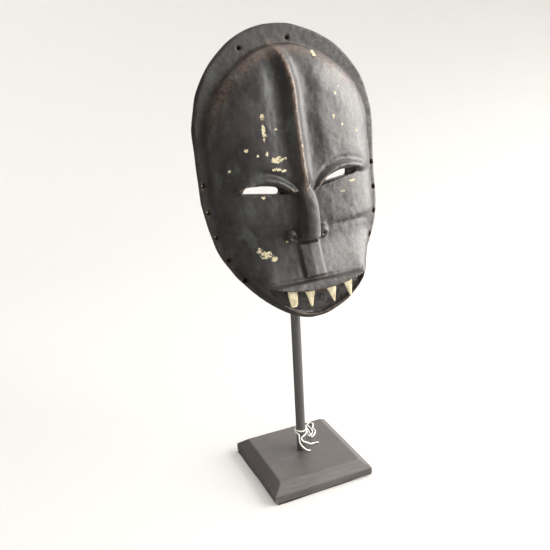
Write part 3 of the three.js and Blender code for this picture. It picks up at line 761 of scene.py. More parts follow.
@dataclass(frozen=True)
class StainedBlock(Finish):
    """Planed hardwood under black water stain: greyish, open-grained, and rubbed paler at its arrises."""

    dark: str = "#4d4948"
    light: str = "#625d5b"
    edge: str = "#98928e"
    pore_mm: float = 1.3

    def paint(self, n: Nodes) -> dict[str, object]:
        """Pores along the grain, clouds of thin stain and pale arrises.

        Args:
            n: the material's nodes.

        Returns:
            The shader's inputs by name.
        """
        pores = n.noise(n.place((0.1, 1.0, 1.0)), self.pore_mm, 6.0, 0.65)
        cloud = n.noise(n.place((0.6, 1.0, 1.0)), 24.0, 5.0)
        colour = n.ramp(pores, (0.3, self.dark), (0.7, self.light))
        colour = n.blend(n.between(cloud, 0.42, 0.66, 0.0, 0.6), colour, self.light)
        patchy = n.maths("MULTIPLY", n.share("rubbed"), n.between(pores, 0.38, 0.6))
        colour = n.blend(patchy, colour, self.edge)
        gloss = n.between(cloud, 0.3, 0.7, 0.36, 0.48)
        bump = n.add("ShaderNodeBump", Height=pores, Strength=0.2, Distance=0.2 * MM).outputs[0]
        return {"Base Color": colour, "Roughness": gloss, "Normal": bump, "IOR": 1.5}


@dataclass(frozen=True)
class Metal(Finish):
    """A metal surface, bare or under paint, with fine drawing or turning marks and handling dulls."""

    colour: str
    worn: str
    metallic: float
    roughness: float
    stretch: tuple[float, float, float] = (1.0, 1.0, 0.08)

    def paint(self, n: Nodes) -> dict[str, object]:
        """Marks drawn out along the work, and smudges.

        Args:
            n: the material's nodes.

        Returns:
            The shader's inputs by name.
        """
        marks = n.noise(n.place(self.stretch), 0.6)
        smudge = n.noise(n.place(), 9.0)
        colour = n.blend(n.between(marks, 0.45, 0.75, 0.0, 0.5), self.colour, self.worn)
        gloss = n.between(smudge, 0.3, 0.7, self.roughness - 0.06, self.roughness + 0.1)
        bump = n.add("ShaderNodeBump", Height=marks, Strength=0.25, Distance=0.05 * MM).outputs[0]
        return {"Base Color": colour, "Roughness": gloss, "Normal": bump, "Metallic": self.metallic}


@dataclass(frozen=True)
class Fibre(Finish):
    """Soft fibre, pressed as felt or spun as cotton: rough, with a faint sheen of loose ends."""

    colour: str
    shade: str
    fibre_mm: float
    sheen: float = 0.4

    def paint(self, n: Nodes) -> dict[str, object]:
        """Tufts of lighter and darker fibre.

        Args:
            n: the material's nodes.

        Returns:
            The shader's inputs by name.
        """
        tufts = n.noise(n.place(), self.fibre_mm, 6.0, 0.75)
        colour = n.ramp(tufts, (0.35, self.shade), (0.6, self.colour))
        bump = n.add("ShaderNodeBump", Height=tufts, Strength=0.6, Distance=0.2 * MM).outputs[0]
        return {"Base Color": colour, "Roughness": 0.92, "Normal": bump, "Sheen Weight": self.sheen}


@dataclass(frozen=True)
class StudioPaper(Finish):
    """Heavy background paper, pale and matt, with a tooth too fine to see as more than a tint."""

    def paint(self, n: Nodes) -> dict[str, object]:
        """A near-white tooth.

        Args:
            n: the material's nodes.

        Returns:
            The shader's inputs by name.
        """
        tone = n.ramp(n.noise(n.place(), 3.0), (0.4, "#c8c7c5"), (0.6, "#cbcac8"))
        glow = {"Emission Color": linear("#f6f2ee"), "Emission Strength": 0.22}
        return {"Base Color": tone, "Roughness": 0.9, "Specular IOR Level": 0.1, **glow}


class Wears(Enum):
    """Every finish in the scene, each built on first use."""

    FACE = BlackenedHardwood("Blackened hardwood, gouge-carved and waxed")
    TOOTH = BareWood("Pale softwood, knife-cut", "#d8d0b4", "#b9aa86", "#93866c")
    BATTEN = BareWood("Hardwood, sawn and bare", "#8a6a4b", "#5e4530", "#4c3827", 1.2, (0.1, 1.0, 1.0))
    BLOCK = StainedBlock("Hardwood, planed and black-stained")
    POST = Metal("Steel rod, drawn and painted satin black", "#545352", "#666462", 0.0, 0.36)
    BLACK_STEEL = Metal("Steel, turned and blackened", "#3b3a39", "#5a5856", 0.0, 0.42, (1.0, 1.0, 1.0))
    STEEL = Metal("Steel, turned and zinc-plated", "#b4b4b0", "#8f8f8b", 1.0, 0.32, (1.0, 1.0, 1.0))
    BRASS = Metal("Brass, turned and dulled", "#b08d4c", "#7d6233", 1.0, 0.36, (1.0, 1.0, 1.0))
    FELT = Fibre("Wool felt, pressed", "#33302e", "#1c1a19", 0.5)
    STRING = Fibre("Cotton string, spun and twisted", "#fcfbf7", "#e6e3da", 0.35, 0.25)
    PAPER = StudioPaper("Background paper, rolled and matt")

    def material(self) -> bpy.types.Material:
        """The finish's material.

        Returns:
            The material, made once.
        """
        if self.value.name not in bpy.data.materials:
            self.value.build()
        return bpy.data.materials[self.value.name]

    def put_on(self, piece: bpy.types.Object) -> None:
        """Makes this the piece's one material."""
        piece.data.materials.clear()
        piece.data.materials.append(self.material())


def dress(piece: bpy.types.Object, finish: Wears, body: str, slot: str, *nodes: str) -> bpy.types.Object:
    """Gives a piece its finish and body, hides the CAD nodes it stands for, and logs it.

    Args:
        piece: the piece.
        finish: what it is made of.
        body: the CAD body it moves with.
        slot: the record's material slot; not used.
        nodes: the CAD nodes it replaces.

    Returns:
        The same piece.
    """
    finish.put_on(piece)
    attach(piece, body)
    if nodes:
        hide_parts(*nodes)
    LOG.info("%s: %d faces on %s", piece.name, len(piece.data.polygons), body)
    return piece


# ---- Where the mask hangs --------------------------------------------------------------------


@dataclass(frozen=True)
class MaskFrame:
    """The mask's own frame in the row frame: u across, v up the mask, w forward."""

    origin: Vector
    across: Vector
    up: Vector
    forward: Vector

    @classmethod
    def read(cls, crown: float) -> "MaskFrame":
        """Reads the frame from the CAD mask's flat back and the underside of its batten.

        Args:
            crown: height of the outline's top above the frame's origin, in millimetres.

        Returns:
            The frame.
        """
        areas: dict[tuple[float, ...], float] = {}
        corners: dict[tuple[float, ...], list[Vector]] = {}
        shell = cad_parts["mask_shell"].data
        for face in shell.polygons:
            key = tuple(round(c, 3) for c in face.normal)
            areas[key] = areas.get(key, 0.0) + face.area
            corners.setdefault(key, []).extend(shell.vertices[i].co.copy() for i in face.vertices)
        back = max((key for key in areas if key[1] > 0.9), key=lambda key: areas[key])
        forward = -Vector(back).normalized()
        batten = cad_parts["cross_batten"].data.polygons
        down = max((face for face in batten if face.normal.z < -0.97), key=lambda face: face.area).normal
        up = (forward * forward.dot(down) - down).normalized()
        top = max(corners[back], key=lambda corner: corner.dot(up))
        return cls(top - up * crown * MM, up.cross(forward), up, forward)

    def place(self, local: Array) -> Array:
        """Local millimetre points (u, v, w) as metres in the row frame."""
        basis = np.array([self.across, self.up, self.forward]) * MM
        return np.array(self.origin) + local @ basis

    def locate(self, world: Array) -> Array:
        """Metres in the row frame as local millimetres (u, v, w)."""
        basis = np.array([self.across, self.up, self.forward])
        return (np.asarray(world) - np.array(self.origin)) @ basis.T / MM


# ---- The carved face -------------------------------------------------------------------------


@dataclass
class CarvedFace:
    """The mask shell: outline, relief and hollow, in millimetres in the mask's own frame."""

    half_width: float = 72.8
    crown: float = 71.3
    crown_start: float = -8.0
    jaw_start: float = -35.0
    chin: float = -152.8
    jaw_fullness: float = 2.28
    jaw_taper: float = 0.63
    jaw_swing: float = 3.0
    temple_bulge: float = 3.2
    cheek_bulge: float = 5.4
    chin_bulge: float = 6.6
    eye_lean: float = 0.06
    slit_centre: float = 31.9
    slit_level: float = -44.6
    slit_length: float = 31.0
    slit_height: float = 5.6
    slit_slant: float = 8.0
    blind_end: float = 7.0
    ridge_height: float = 5.2
    ridge_half_width: float = 9.0
    wing_offset: float = 13.0
    wing_level: float = -83.0
    wing_radius: float = 5.2
    plate_half_width: float = 8.3
    plate_bottom: float = -114.3
    mouth_half_width: float = 39.4
    lip_top: float = -118.0
    lip_height: float = 7.2
    mouth_depth: float = 28.5
    mouth_bulge: float = 1.6
    hole_radius: float = 1.9
    hole_back_radius: float = 0.4
    hole_inset: float = 3.0
    voxel: float = 0.85
    kept_share: float = 0.72
    flange: Stations = ((-150, 1), (-125, 2.5), (-100, 4), (-80, 5), (-30, 6.5), (5, 7.5), (25, 10),
                        (45, 13.5), (71, 15))
    rim: Stations = ((-152, 17), (-120, 9), (-92, 6.5), (40, 6.5), (72, 5))
    shoulder: Stations = ((-150, 5), (-118, 10), (-90, 26), (-50, 26), (-20, 28), (20, 29), (60, 18))
    forehead: Stations = ((-38, 31), (-25, 30.5), (5, 28.5), (30, 25), (45, 22), (60, 18))
    cheek: Stations = ((-150, 24), (-137, 30), (-127, 35.5), (-117, 35.5), (-105, 31), (-88, 26.5),
                       (-70, 26), (-48, 26))
    centre_line: Stations = ((-90, 0.4), (-62, 1.8), (-42, -1.2), (-20, -1.8), (5, -2.8), (25, -2.4),
                             (40, -4.2), (60, -7.2))
    nose_crest: Stations = ((-90, 37.5), (-84, 37.5), (-60, 35.5), (-45, 33), (-38, 32))
    nose_top: Stations = ((-86, 5.4), (-60, 5), (-42, 3.4))
    mouth_floor: Stations = ((-148, 22.5), (-140, 25.5), (-126, 31.5))
    hollow_depth: Stations = ((-146, 8), (-135, 16), (-120, 22.5), (-105, 21.5), (-85, 17.5), (-60, 17),
                              (-45, 16.5), (-30, 20.5), (5, 20), (30, 17), (45, 12), (60, 6))
    holes: Sequence[tuple[float, float]] = ((8.2, 60.0), (-30.5, 55.0))
    chips: Sequence[tuple[float, float, float, float]] = (
        (-26.7, 5, 1.6, 2.2), (-27.2, -6, 1.4, 6.0), (-17.5, -4, 1.2, 1.0), (-41.6, -17, 1.6, 1.2),
        (-33.6, -21.3, 1.0, 1.0), (-26.7, -20.7, 1.2, 1.4), (-19.5, -26.0, 5.0, 2.4),
        (-14.5, -25.5, 2.4, 1.4), (-20.5, -32.5, 3.4, 1.2), (-15.5, -34.0, 2.0, 0.8),
        (-54, -30, 1.2, 1.0), (-38, -91, 2.2, 2.2),
        (-33.5, -94.6, 4.4, 2.8), (-28.5, -98, 2.6, 1.8), (-31.6, -52, 1.6, 1.0), (-16.5, -87, 1.2, 0.8),
        (24, 47, 2.4, 2.6), (34, 16.5, 1.0, 1.2), (30, 0, 0.9, 2.0), (37, -6, 1.2, 1.0), (50, -12, 1.4, 1.2),
        (46, 35, 0.8, 0.8), (38, 22, 1.2, 0.7), (44, -49, 3.0, 1.0), (34, -56, 2.0, 0.8),
    )

    def swing(self, v: Array) -> Array:
        """How far the middle of the face leaves the centre line towards the chin."""
        return self.jaw_swing * ramp(v, -85.0, -135.0)

    def bulge(self, v: Array) -> Array:
        """How much fuller the right side is than the left."""
        temple = self.temple_bulge * bell(v - 15, 45) * ramp(v, self.crown, 55.0)
        return temple + self.cheek_bulge * bell(v + 88, 34) + self.chin_bulge * bell(v + 148, 10)

    def centre(self, v: Array) -> Array:
        """Where the ridge and the nose stand, which wanders from the centre line."""
        return along(self.centre_line, v) + 0.3 * np.sin(v / 14)

    def half_outline(self) -> Array:
        """The outline's side from the crown to the chin, before it leans or bulges.

        Returns:
            (u, v) points in millimetres.
        """
        crown = np.linspace(0, math.pi / 2, 60, endpoint=False)
        jaw = np.sin(np.linspace(0, math.pi / 2, 90))
        reach = np.maximum(0, 1 - jaw**self.jaw_fullness) ** self.jaw_taper
        u = np.concatenate([self.half_width * np.sin(crown), self.half_width * reach])
        top = self.crown_start + (self.crown - self.crown_start) * np.cos(crown)
        return np.stack([u, np.concatenate([top, mix(self.jaw_start, self.chin, jaw)])], 1)

    def outline(self) -> Array:
        """The whole outline, clockwise from the crown.

        Returns:
            (u, v) points in millimetres.
        """
        right = self.half_outline()
        left = right[1:-1][::-1] * (-1, 1)
        right[:, 0] += self.bulge(right[:, 1])
        whole = np.concatenate([right, left])
        whole[:, 0] += self.swing(whole[:, 1])
        return whole

    def inset(self, u: Array, v: Array) -> Array:
        """Distance in from the outline, negative outside it.

        Args:
            u: places across the mask.
            v: places up the mask.

        Returns:
            Distances in millimetres.
        """
        ring = self.outline()
        near = np.full(np.broadcast(u, v).shape, 1e9)
        inside = np.zeros(near.shape, bool)
        for a, b in zip(ring, np.roll(ring, -1, 0)):
            d = b - a
            t = np.clip(((u - a[0]) * d[0] + (v - a[1]) * d[1]) / max(d @ d, 1e-9), 0, 1)
            near = np.minimum(near, np.hypot(u - a[0] - t * d[0], v - a[1] - t * d[1]))
            if a[1] != b[1]:
                crosses = (a[1] > v) != (b[1] > v)
                inside ^= crosses & (u < a[0] + (v - a[1]) * d[0] / d[1])
        return np.where(inside, near, -near) + 0.45 * Grain(3).sample(u / 11, v / 13)

    def mouth_share(self, u: Array) -> Array:
        """Distance from the mouth's middle as a share of its half-width."""
        return np.clip(np.abs(u - self.swing(np.array(self.lip_top))) / self.mouth_half_width, 0, 1)

    def lip_bottom(self, u: Array) -> Array:
        """Level of the lip band's lower edge."""
        return self.lip_top - self.lip_height * (1 - self.mouth_share(u) ** 2)

    def mouth_bottom(self, u: Array) -> Array:
        """Level of the mouth's lower edge."""
        rest = 1 - self.mouth_share(u) ** self.mouth_bulge
        return self.lip_top - self.mouth_depth * rest ** (1 / self.mouth_bulge)

    def brow_level(self, u: Array) -> Array:
        """Level of the lower edge of the rolled brow."""
        off = np.abs(u) - 33.0
        return self.slit_level + 3.4 - np.where(off < 0, 0.021, 0.012) * off**2 + self.eye_lean * u

    def lid_level(self, u: Array) -> Array:
        """Level of the lower lid's edge."""
        rise = math.tan(math.radians(self.slit_slant))
        return self.slit_level - 3.0 + rise * (np.abs(u) - self.slit_centre) + self.eye_lean * u

    def face_height(self, u: Array, v: Array) -> Array:
        """Forehead, brow, eye sockets and cheeks, before the edges fall away.

        Args:
            u: places across the mask.
            v: places up the mask.

        Returns:
            Heights, in millimetres.
        """
        across, brow, lid = np.abs(u), self.brow_level(u), self.lid_level(u)
        valley = bell(np.abs(u - self.centre(v)) - 12, 7) * ramp(v, -44, -20) * ramp(v, 58, 40)
        roll = (2.8 * bell(v - brow - 3.2, 2.8) - 0.9 * bell(v - brow - 8.4, 2.2)) * ramp(across, 60, 50)
        forehead = along(self.forehead, v) - 6.5 * (u / 60) ** 2 - 1.4 * valley + roll * ramp(across, 4, 12)
        cheek = along(self.cheek, v) - 4.0 * (u / 55) ** 2 * ramp(v, -108, -90)
        crease = bell(v + 82 - 0.05 * u, 2.4) * ramp(across, 14, 20) * ramp(across, 66, 50)
        muzzle = 3.2 * (across / 40) * ramp(v, -70, -100) * ramp(v, -120, -112)
        cheek = cheek - 0.5 * crease - muzzle
        is_open = ramp(across, 58, 48)
        socket = mix((forehead + cheek) / 2, 23.0, is_open)
        upper = mix(socket, forehead, ramp(v, brow - 1.0, brow + 0.8))
        soft = 0.8 + 5.0 * ramp(across, 44, 58)
        return mix(cheek, upper, ramp(v, lid - soft, lid + soft))

    def ridge(self, u: Array, v: Array) -> Array:
        """The raised keel from the crown to the bridge of the nose, with hollow flanks.

        Args:
            u: places across the mask.
            v: places up the mask.

        Returns:
            Heights, in millimetres.
        """
        away = np.maximum(0, np.abs(u - self.centre(v)) - 1.3)
        share = np.clip(1 - away / (self.ridge_half_width - 1.3), 0, 1)
        height = self.ridge_height + 0.35 * Grain(8).sample(v / 9, v * 0)
        return height * share**1.7 * ramp(v, 61, 50) * ramp(v, -54, -42)

    def nose(self, u: Array, v: Array) -> Array:
        """The wedge of the nose as a height, 0 where there is none.

        Args:
            u: places across the mask.
            v: places up the mask.

        Returns:
            Heights, in millimetres.
        """
        across = np.abs(u - self.centre(v))
        fall = np.maximum(0, across - along(self.nose_top, v)) / 5.0
        crest = along(self.nose_crest, v) - 0.03 * across**2 - 12 * fall**1.2
        return np.where(v > -38, 0, crest * ramp(v, -88.0, -86.2))

    def wing(self, u: Array, v: Array) -> Array:
        """The two wings of the nose, each with a drilled dimple.

        Args:
            u: places across the mask.
            v: places up the mask.

        Returns:
            Heights, in millimetres.
        """
        away = np.hypot(np.abs(u) - self.wing_offset, v - self.wing_level)
        ball = 5.4 * quarter(1 - away / self.wing_radius)
        dimple = bell(np.hypot(np.abs(u) - self.wing_offset + 0.4, v - self.wing_level + 1.6), 1.5)
        return ball - 3.0 * dimple

    def front(self, u: Array, v: Array) -> Array:
        """Height of the carved front above the back plane.

        Args:
            u: places across the mask.
            v: places up the mask.

        Returns:
            Heights, in millimetres.
        """
        u, v = np.broadcast_arrays(u, v)
        edge = self.inset(u, v)
        rim = along(self.rim, v)
        into = edge - along(self.flange, v)
        rise = quarter(into / along(self.shoulder, v)) * ramp(into, -1.0, 2.6)
        face = self.face_height(u, v) + self.ridge(u, v) + self.wing(u, v)
        side = ramp(np.abs(u), self.plate_half_width + 0.5, self.plate_half_width - 0.5)
        upright = ramp(v, self.plate_bottom - 0.8, self.plate_bottom + 0.4) * ramp(v, -88.5, -91)
        face = face + 2.8 * side * upright
        face = np.maximum(face, self.nose(u, v))
        face = np.where(v < self.lip_top + 5, self.mouth(u, v, face), face)
        carved = 0.22 * Grain(5).layered(u / 8, v / 12) + 0.1 * Grain(6).sample(u / 2.6, v / 3.4)
        return mix(rim, face, rise) - 1.5 * (1 - quarter(edge / 1.5)) + carved

    def mouth(self, u: Array, v: Array, jaw: Array) -> Array:
        """Lip band, sunken mouth and chin rim laid into the jaw's height.

        Args:
            u: places across the mask.
            v: places up the mask.
            jaw: the jaw's height without a mouth.

        Returns:
            Heights, in millimetres.
        """
        half = self.mouth_half_width
        away = np.abs(u - self.swing(np.array(self.lip_top)))
        inside = ramp(away, half + 0.5, half - 1)
        low, bottom = self.mouth_bottom(u), self.lip_bottom(u)
        down = np.clip((self.lip_top - v) / (self.lip_top - bottom + 0.01), 0, 1)
        lip = jaw + ramp(v, self.lip_top + 0.8, self.lip_top - 0.2) * inside * mix(2.0, 4.2, down)
        lip = lip - 0.9 * bell(v - self.lip_top - 1.8, 1.2) * inside
        rim = jaw + 1.5 * inside * ramp(v, low + 1, low - 1) * ramp(v, low - 6, low - 3)
        floor = np.minimum(along(self.mouth_floor, v), rim)
        sunk = ramp(v, bottom + 0.2, bottom - 0.8) * inside
        return mix(mix(lip, rim, sunk), floor, sunk * ramp(v, low - 0.6, low + 1))

    def hollow(self, u: Array, v: Array) -> Array:
        """Height of the hollow's roof above the back plane."""
        start = np.maximum(8.0, along(self.flange, v) + 3.0)
        return along(self.hollow_depth, v) * quarter((self.inset(u, v) - start) / 18.0)

    def slit(self, u: Array, v: Array, w: Array) -> Array:
        """Distance outside the two eye slits; the right one's outer end is cut only part way in.

        Args:
            u: places across the mask.
            v: places up the mask.
            w: heights above the back plane.

        Returns:
            Distances in millimetres, negative in a slit.
        """
        best = np.full(np.broadcast(u, v, w).shape, 1e9)
        half, tall = self.slit_length / 2, self.slit_height / 2
        for side in (-1, 1):
            centre = side * self.slit_centre
            angle = side * math.radians(self.slit_slant)
            du, dv = u - centre, v - self.slit_level - self.eye_lean * centre
            x = du * math.cos(angle) + dv * math.sin(angle)
            y = dv * math.cos(angle) - du * math.sin(angle)
            roof = tall - 1.5 * (np.abs(x) / half) ** 4
            outer = half - (self.blind_end * ramp(w, 20.5, 19.0) if side > 0 else 0)
            ends = np.maximum(x - outer, -half - x)
            best = np.minimum(best, soft_max(np.maximum(y - roof, -y - tall), ends, 2.4))
        return best

    def hole_places(self) -> list[tuple[float, float]]:
        """Middles of the holes drilled through the flange.

        Returns:
            (u, v) of each hole.
        """
        places = list(self.holes)
        side = self.half_outline()
        side = side[side[:, 1] < -37.5]
        steps = np.hypot(*np.diff(side, axis=0).T)
        walked = np.concatenate([[0], np.cumsum(steps)])
        for k in range(5):
            i = int(np.searchsorted(walked, 20.3 * k, side="right")) - 1
            t = (20.3 * k - walked[i]) / steps[i]
            (au, av), (bu, bv) = side[i], side[i + 1]
            inward = np.array([bv - av, -(bu - au)]) / steps[i] * self.hole_inset
            u, v = side[i] + (side[i + 1] - side[i]) * t + inward
            places += [(-u + self.swing(v), v), (u + self.bulge(v) + self.swing(v), v)]
        return places

    def field(self, u: Array, v: Array, w: Array) -> Array:
        """The shell's distance field, negative in the wood.

        Args:
            u: places across the mask.
            v: places up the mask.
            w: heights above the back plane.

        Returns:
            Distances in millimetres, negative inside.
        """
        flat_u, flat_v = u[:, :, 0], v[:, :, 0]
        solid = None
        for height, sign in ((self.front(flat_u, flat_v), 1), (self.hollow(flat_u, flat_v), -1)):
            steep = np.minimum(np.hypot(*np.gradient(height, self.voxel)), 5.0)
            side = sign * (w - height[:, :, None]) / np.sqrt(1 + steep * steep)[:, :, None]
            solid = side if solid is None else soft_max(solid, side, 0.6)
        solid = soft_max(solid, -w + 0 * u, 1.0)
        solid = soft_max(solid, -self.inset(flat_u, flat_v)[:, :, None], 1.6)
        solid = soft_max(solid, -self.slit(u, v, w), 0.7)
        holes = np.full(flat_u.shape[:1] + flat_v.shape[1:], 1e9)
        for hole_u, hole_v in self.hole_places():
            holes = np.minimum(holes, np.hypot(flat_u - hole_u, flat_v - hole_v))
        bore = mix(self.hole_back_radius, self.hole_radius, np.clip(w / along(self.rim, np.array(0.0)), 0, 1))
        return soft_max(solid, bore - holes[:, :, None], 0.5)

    def build(self, place: MaskFrame) -> bpy.types.Object:
        """Makes the shell and stores where it is worn, flaked, dusted or lightened as painted light, and
        bare.

        Args:
            place: where the mask hangs.

        Returns:
            The piece.
        """
        reach = self.half_width + 8
        low, high = (-reach, self.chin - 3, -2.0), (reach, self.crown + 3, 48.0)
        piece = solid_from_field("carved_face", self.field, low, high, self.voxel, place.place)
        local = place.locate(vertex_places(piece))
        u, v, w = local.T
        normals = vertex_normals(piece) @ np.array([place.across, place.up, place.forward]).T
        edge = self.inset(u, v)
        crest = bell(u - self.centre(v), 1.7) * ramp(v, 62, 55) * ramp(v, -60, -45)
        margin = bell(edge - along(self.flange, v) - 5, 5) * ramp(v, -10, 30)
        worn = np.clip(0.9 * crest + 0.45 * margin + 1.3 * ramp(convexity(piece, 2), 0.05, 0.16), 0, 1)
        flaked = 0.4 * bell(u - self.centre(v) - 0.8, 1.8) * ramp(v, 62, 30) * ramp(v, -60, -45)
        for chip_u, chip_v, wide, tall in self.chips:
            away = np.hypot((u - chip_u) / wide, (v - chip_v) / tall)
            flaked = np.maximum(flaked, 0.82 * ramp(away, 1.9, 0.3))
        arris = ramp(convexity(piece, 1), 0.1, 0.22)
        flange = ramp(edge, along(self.flange, v) + 1, along(self.flange, v) - 1) * ramp(v, -20, 30)
        jaw = ramp(v, -122, -130) * ramp(u, -30, 5)
        facing = normals[:, 2]
        bare = ramp(facing, 0.1, -0.3) * ramp(w, 2.0, 0.5) + ramp(facing, 0.05, -0.15) * ramp(edge, 5, 8)
        for hole_u, hole_v in self.hole_places():
            off = np.hypot(u - hole_u, v - hole_v)
            bare = np.maximum(bare, ramp(off, self.hole_radius + 0.6, self.hole_radius))
        shares = {
            "rim": flange, "rubbed": worn, "flaked": np.maximum(flaked, 0.32 * arris),
            # real dust everywhere, plus painted light: the right half and the jaw lightened as if lit from
            # the right
            "dusty": np.clip(0.06 + 0.5 * np.maximum(ramp(u, -5, 40), jaw), 0, 1),
            "inside": np.clip(bare, 0, 1),
        }
        for name, values in shares.items():
            attribute(piece, name, values)
        piece = thinned(piece, facing < 0.1, self.kept_share)
        return dress(piece, Wears.FACE, "mask", "blackened_wood", "mask_shell")


@dataclass
class Teeth:
    """Four teeth split and whittled from pale wood, hanging from under the lip."""

    face: CarvedFace
    offsets: Sequence[float] = (-23.3, -8.8, 8.8, 23.3)
    widths: Sequence[float] = (7.4, 8.6, 9.0, 8.2)
    tips: Sequence[float] = (5.6, 1.5, 1.3, 1.8)
    leans: Sequence[float] = (0.6, 0.5, 2.2, 2.0)
    root: float = 4.0
    length: float = 12.4
    thickness: float = 2.8
    sections: int = 14
    sides: int = 16

    def tooth(self, index: int, place: MaskFrame) -> bpy.types.Object:
        """One tooth, lofted from its root to its tip through uneven rounded sections.

        Args:
            index: which tooth, from the left.
            place: where the mask hangs.

        Returns:
            The piece.
        """
        grain, face = Grain(40 + index), self.face
        centre = self.offsets[index] + float(face.swing(np.array(face.lip_top)))
        top = float(face.lip_bottom(np.array(centre))) + self.root
        depth = float(along(face.cheek, np.array(face.lip_top - 3.9))) - 0.6
        points, total = [], self.root + self.length
        for k in range(self.sections + 1):
            down = k / self.sections
            taper = max(0.0, (down * total - self.root) / self.length) ** (0.9 if index else 1.0)
            half = mix(self.widths[index], self.tips[index], taper) / 2 * (1 if k < self.sections else 0.72)
            thick = mix(self.thickness, 1.3, taper) / 2
            lean = self.leans[index] * taper
            for i in range(self.sides):
                angle = 2 * math.pi * i / self.sides
                c, s = math.cos(angle), math.sin(angle)
                square_u = math.copysign(abs(c) ** 0.6, c)
                square_w = math.copysign(abs(s) ** 0.75, s)
                cut = 1 + 0.1 * float(grain.sample(np.array(down * 5.0), np.array(3 * c + 7)))
                side, front = half * square_u * cut, thick * square_w * cut
                points.append((centre + lean + side, top - down * total, depth + front))
        n = self.sides
        ends = [tuple(range(n))[::-1], tuple(self.sections * n + i for i in range(n))]
        faces = ends + skin(self.sections + 1, n)
        piece = facing_out(as_object(f"whittled_tooth_{index + 1}", place.place(np.array(points)), faces))
        piece.data.set_sharp_from_angle(angle=math.radians(WHITTLED_ARRIS))
        return dress(piece, Wears.TOOTH, "mask", "pale_wood", f"tooth_{index + 1}")

    def build(self, place: MaskFrame) -> list[bpy.types.Object]:
        """Makes all four."""
        return [self.tooth(index, place) for index in range(len(self.offsets))]


@dataclass
class MountBar:
    """The hidden batten across the hollow, bored for the post, and its two screws."""

    face: CarvedFace
    bottom: float = -24.0
    top: float = 4.0
    back: float = 0.5
    scribe_gap: float = 0.9
    socket_radius: float = 4.4
    seat_radius: float = 8.5
    screw_spacing: float = 84.0
    head_radius: float = 4.0
    head_height: float = 2.4
    shank_radius: float = 2.0
    screw_length: float = 22.5
    slot_width: float = 1.1
    slot_depth: float = 1.1

    def field(self, u: Array, v: Array, w: Array, place: MaskFrame) -> Array:
        """The batten's distance field: a bar scribed to the hollow, less its bore, seat and screw holes.

        Args:
            u: places across the mask.
            v: places up the mask.
            w: heights above the back plane.
            place: where the mask hangs.

        Returns:
            Distances in millimetres, negative inside.
        """
        flat_u, flat_v = u[:, :, 0], v[:, :, 0]
        roof = self.face.hollow(flat_u, flat_v) - self.scribe_gap
        steep = np.minimum(np.hypot(*np.gradient(roof, 0.8)), 5.0)
        solid = (w - roof[:, :, None]) / np.sqrt(1 + steep * steep)[:, :, None]
        bar = np.maximum(np.maximum(v - self.top, self.bottom - v), self.back - w)
        solid = soft_max(solid, bar, 1.2)
        grid = np.stack(np.broadcast_arrays(u, v, w), -1)
        world = place.place(grid.reshape(-1, 3)).reshape(grid.shape) / MM
        radial = np.hypot(world[..., 0], world[..., 1])
        post_top, seat = (box_mm("post")[1][2], box_mm("rest_washer")[1][2])
        for bore, reach in ((self.socket_radius, post_top), (self.seat_radius, seat)):
            cut = np.maximum(radial - bore, world[..., 2] - reach - CLEARANCE)
            solid = soft_max(solid, -cut, 0.5)
        for side in (-1, 1):
            away = np.hypot(u - side * self.screw_spacing / 2, v - (self.top + self.bottom) / 2)
            cone = self.head_radius + CLEARANCE - 0.9 * (w - self.back)
            sink = away - np.maximum(self.shank_radius, cone)
            solid = soft_max(solid, -sink, 0.4)
        return solid

    def bar(self, place: MaskFrame) -> bpy.types.Object:
        """The batten.

        Args:
            place: where the mask hangs.

        Returns:
            The piece.
        """
        low, high = (-70.0, self.bottom - 2, -1.5), (70.0, self.top + 2, 24.0)
        piece = solid_from_field(
            "mount_bar", lambda u, v, w: self.field(u, v, w, place), low, high, 0.8, place.place
        )
        return dress(piece, Wears.BATTEN, "mask", "raw_wood", "cross_batten")

    def screws(self, place: MaskFrame) -> bpy.types.Object:
        """Both slotted countersunk screws, one shape set out by a node tree.

        Args:
            place: where the mask hangs.

        Returns:
            The piece, both screws in one.
        """
        head, shank = self.head_radius, self.shank_radius
        profile = [(0, 0), (head, 0), (head, 0.4), (shank, self.head_height)]
        turns = 10
        for k in range(2 * turns):
            depth = mix(self.head_height + 5, self.screw_length - 4, k / (2 * turns))
            profile.append((shank + (0.25 if k % 2 else -0.35), depth))
        profile.append((0, self.screw_length))
        blank = turned("screw_blank", profile, 28)
        slot = as_object("screw_slot", *block(3 * head, self.slot_width, 2 * self.slot_depth))
        cutter = blank.modifiers.new("slot", "BOOLEAN")
        cutter.object, cutter.solver = slot, "EXACT"
        one = evaluated(blank, "screw_shape")
        discard(blank, slot)
        out = self.screw_spacing / 2 * MM
        spots = as_object("batten_screws", np.array([(-out, 0, 0), (out, 0, 0)]), [])
        piece = set_out(spots, one, Wears.BRASS.material(), "batten_screws")
        level = (self.top + self.bottom) / 2
        local = vertex_places(piece) / MM + np.array([0, level, self.back])
        move_vertices(piece, place.place(local))
        nodes = ("batten_screw_left", "batten_screw_right")
        return dress(facing_out(piece), Wears.BRASS, "mask", "brass", *nodes)

    def build(self, place: MaskFrame) -> None:
        """Makes the bar and its screws."""
        self.bar(place)
        self.screws(place)


# ---- The stand -------------------------------------------------------------------------------


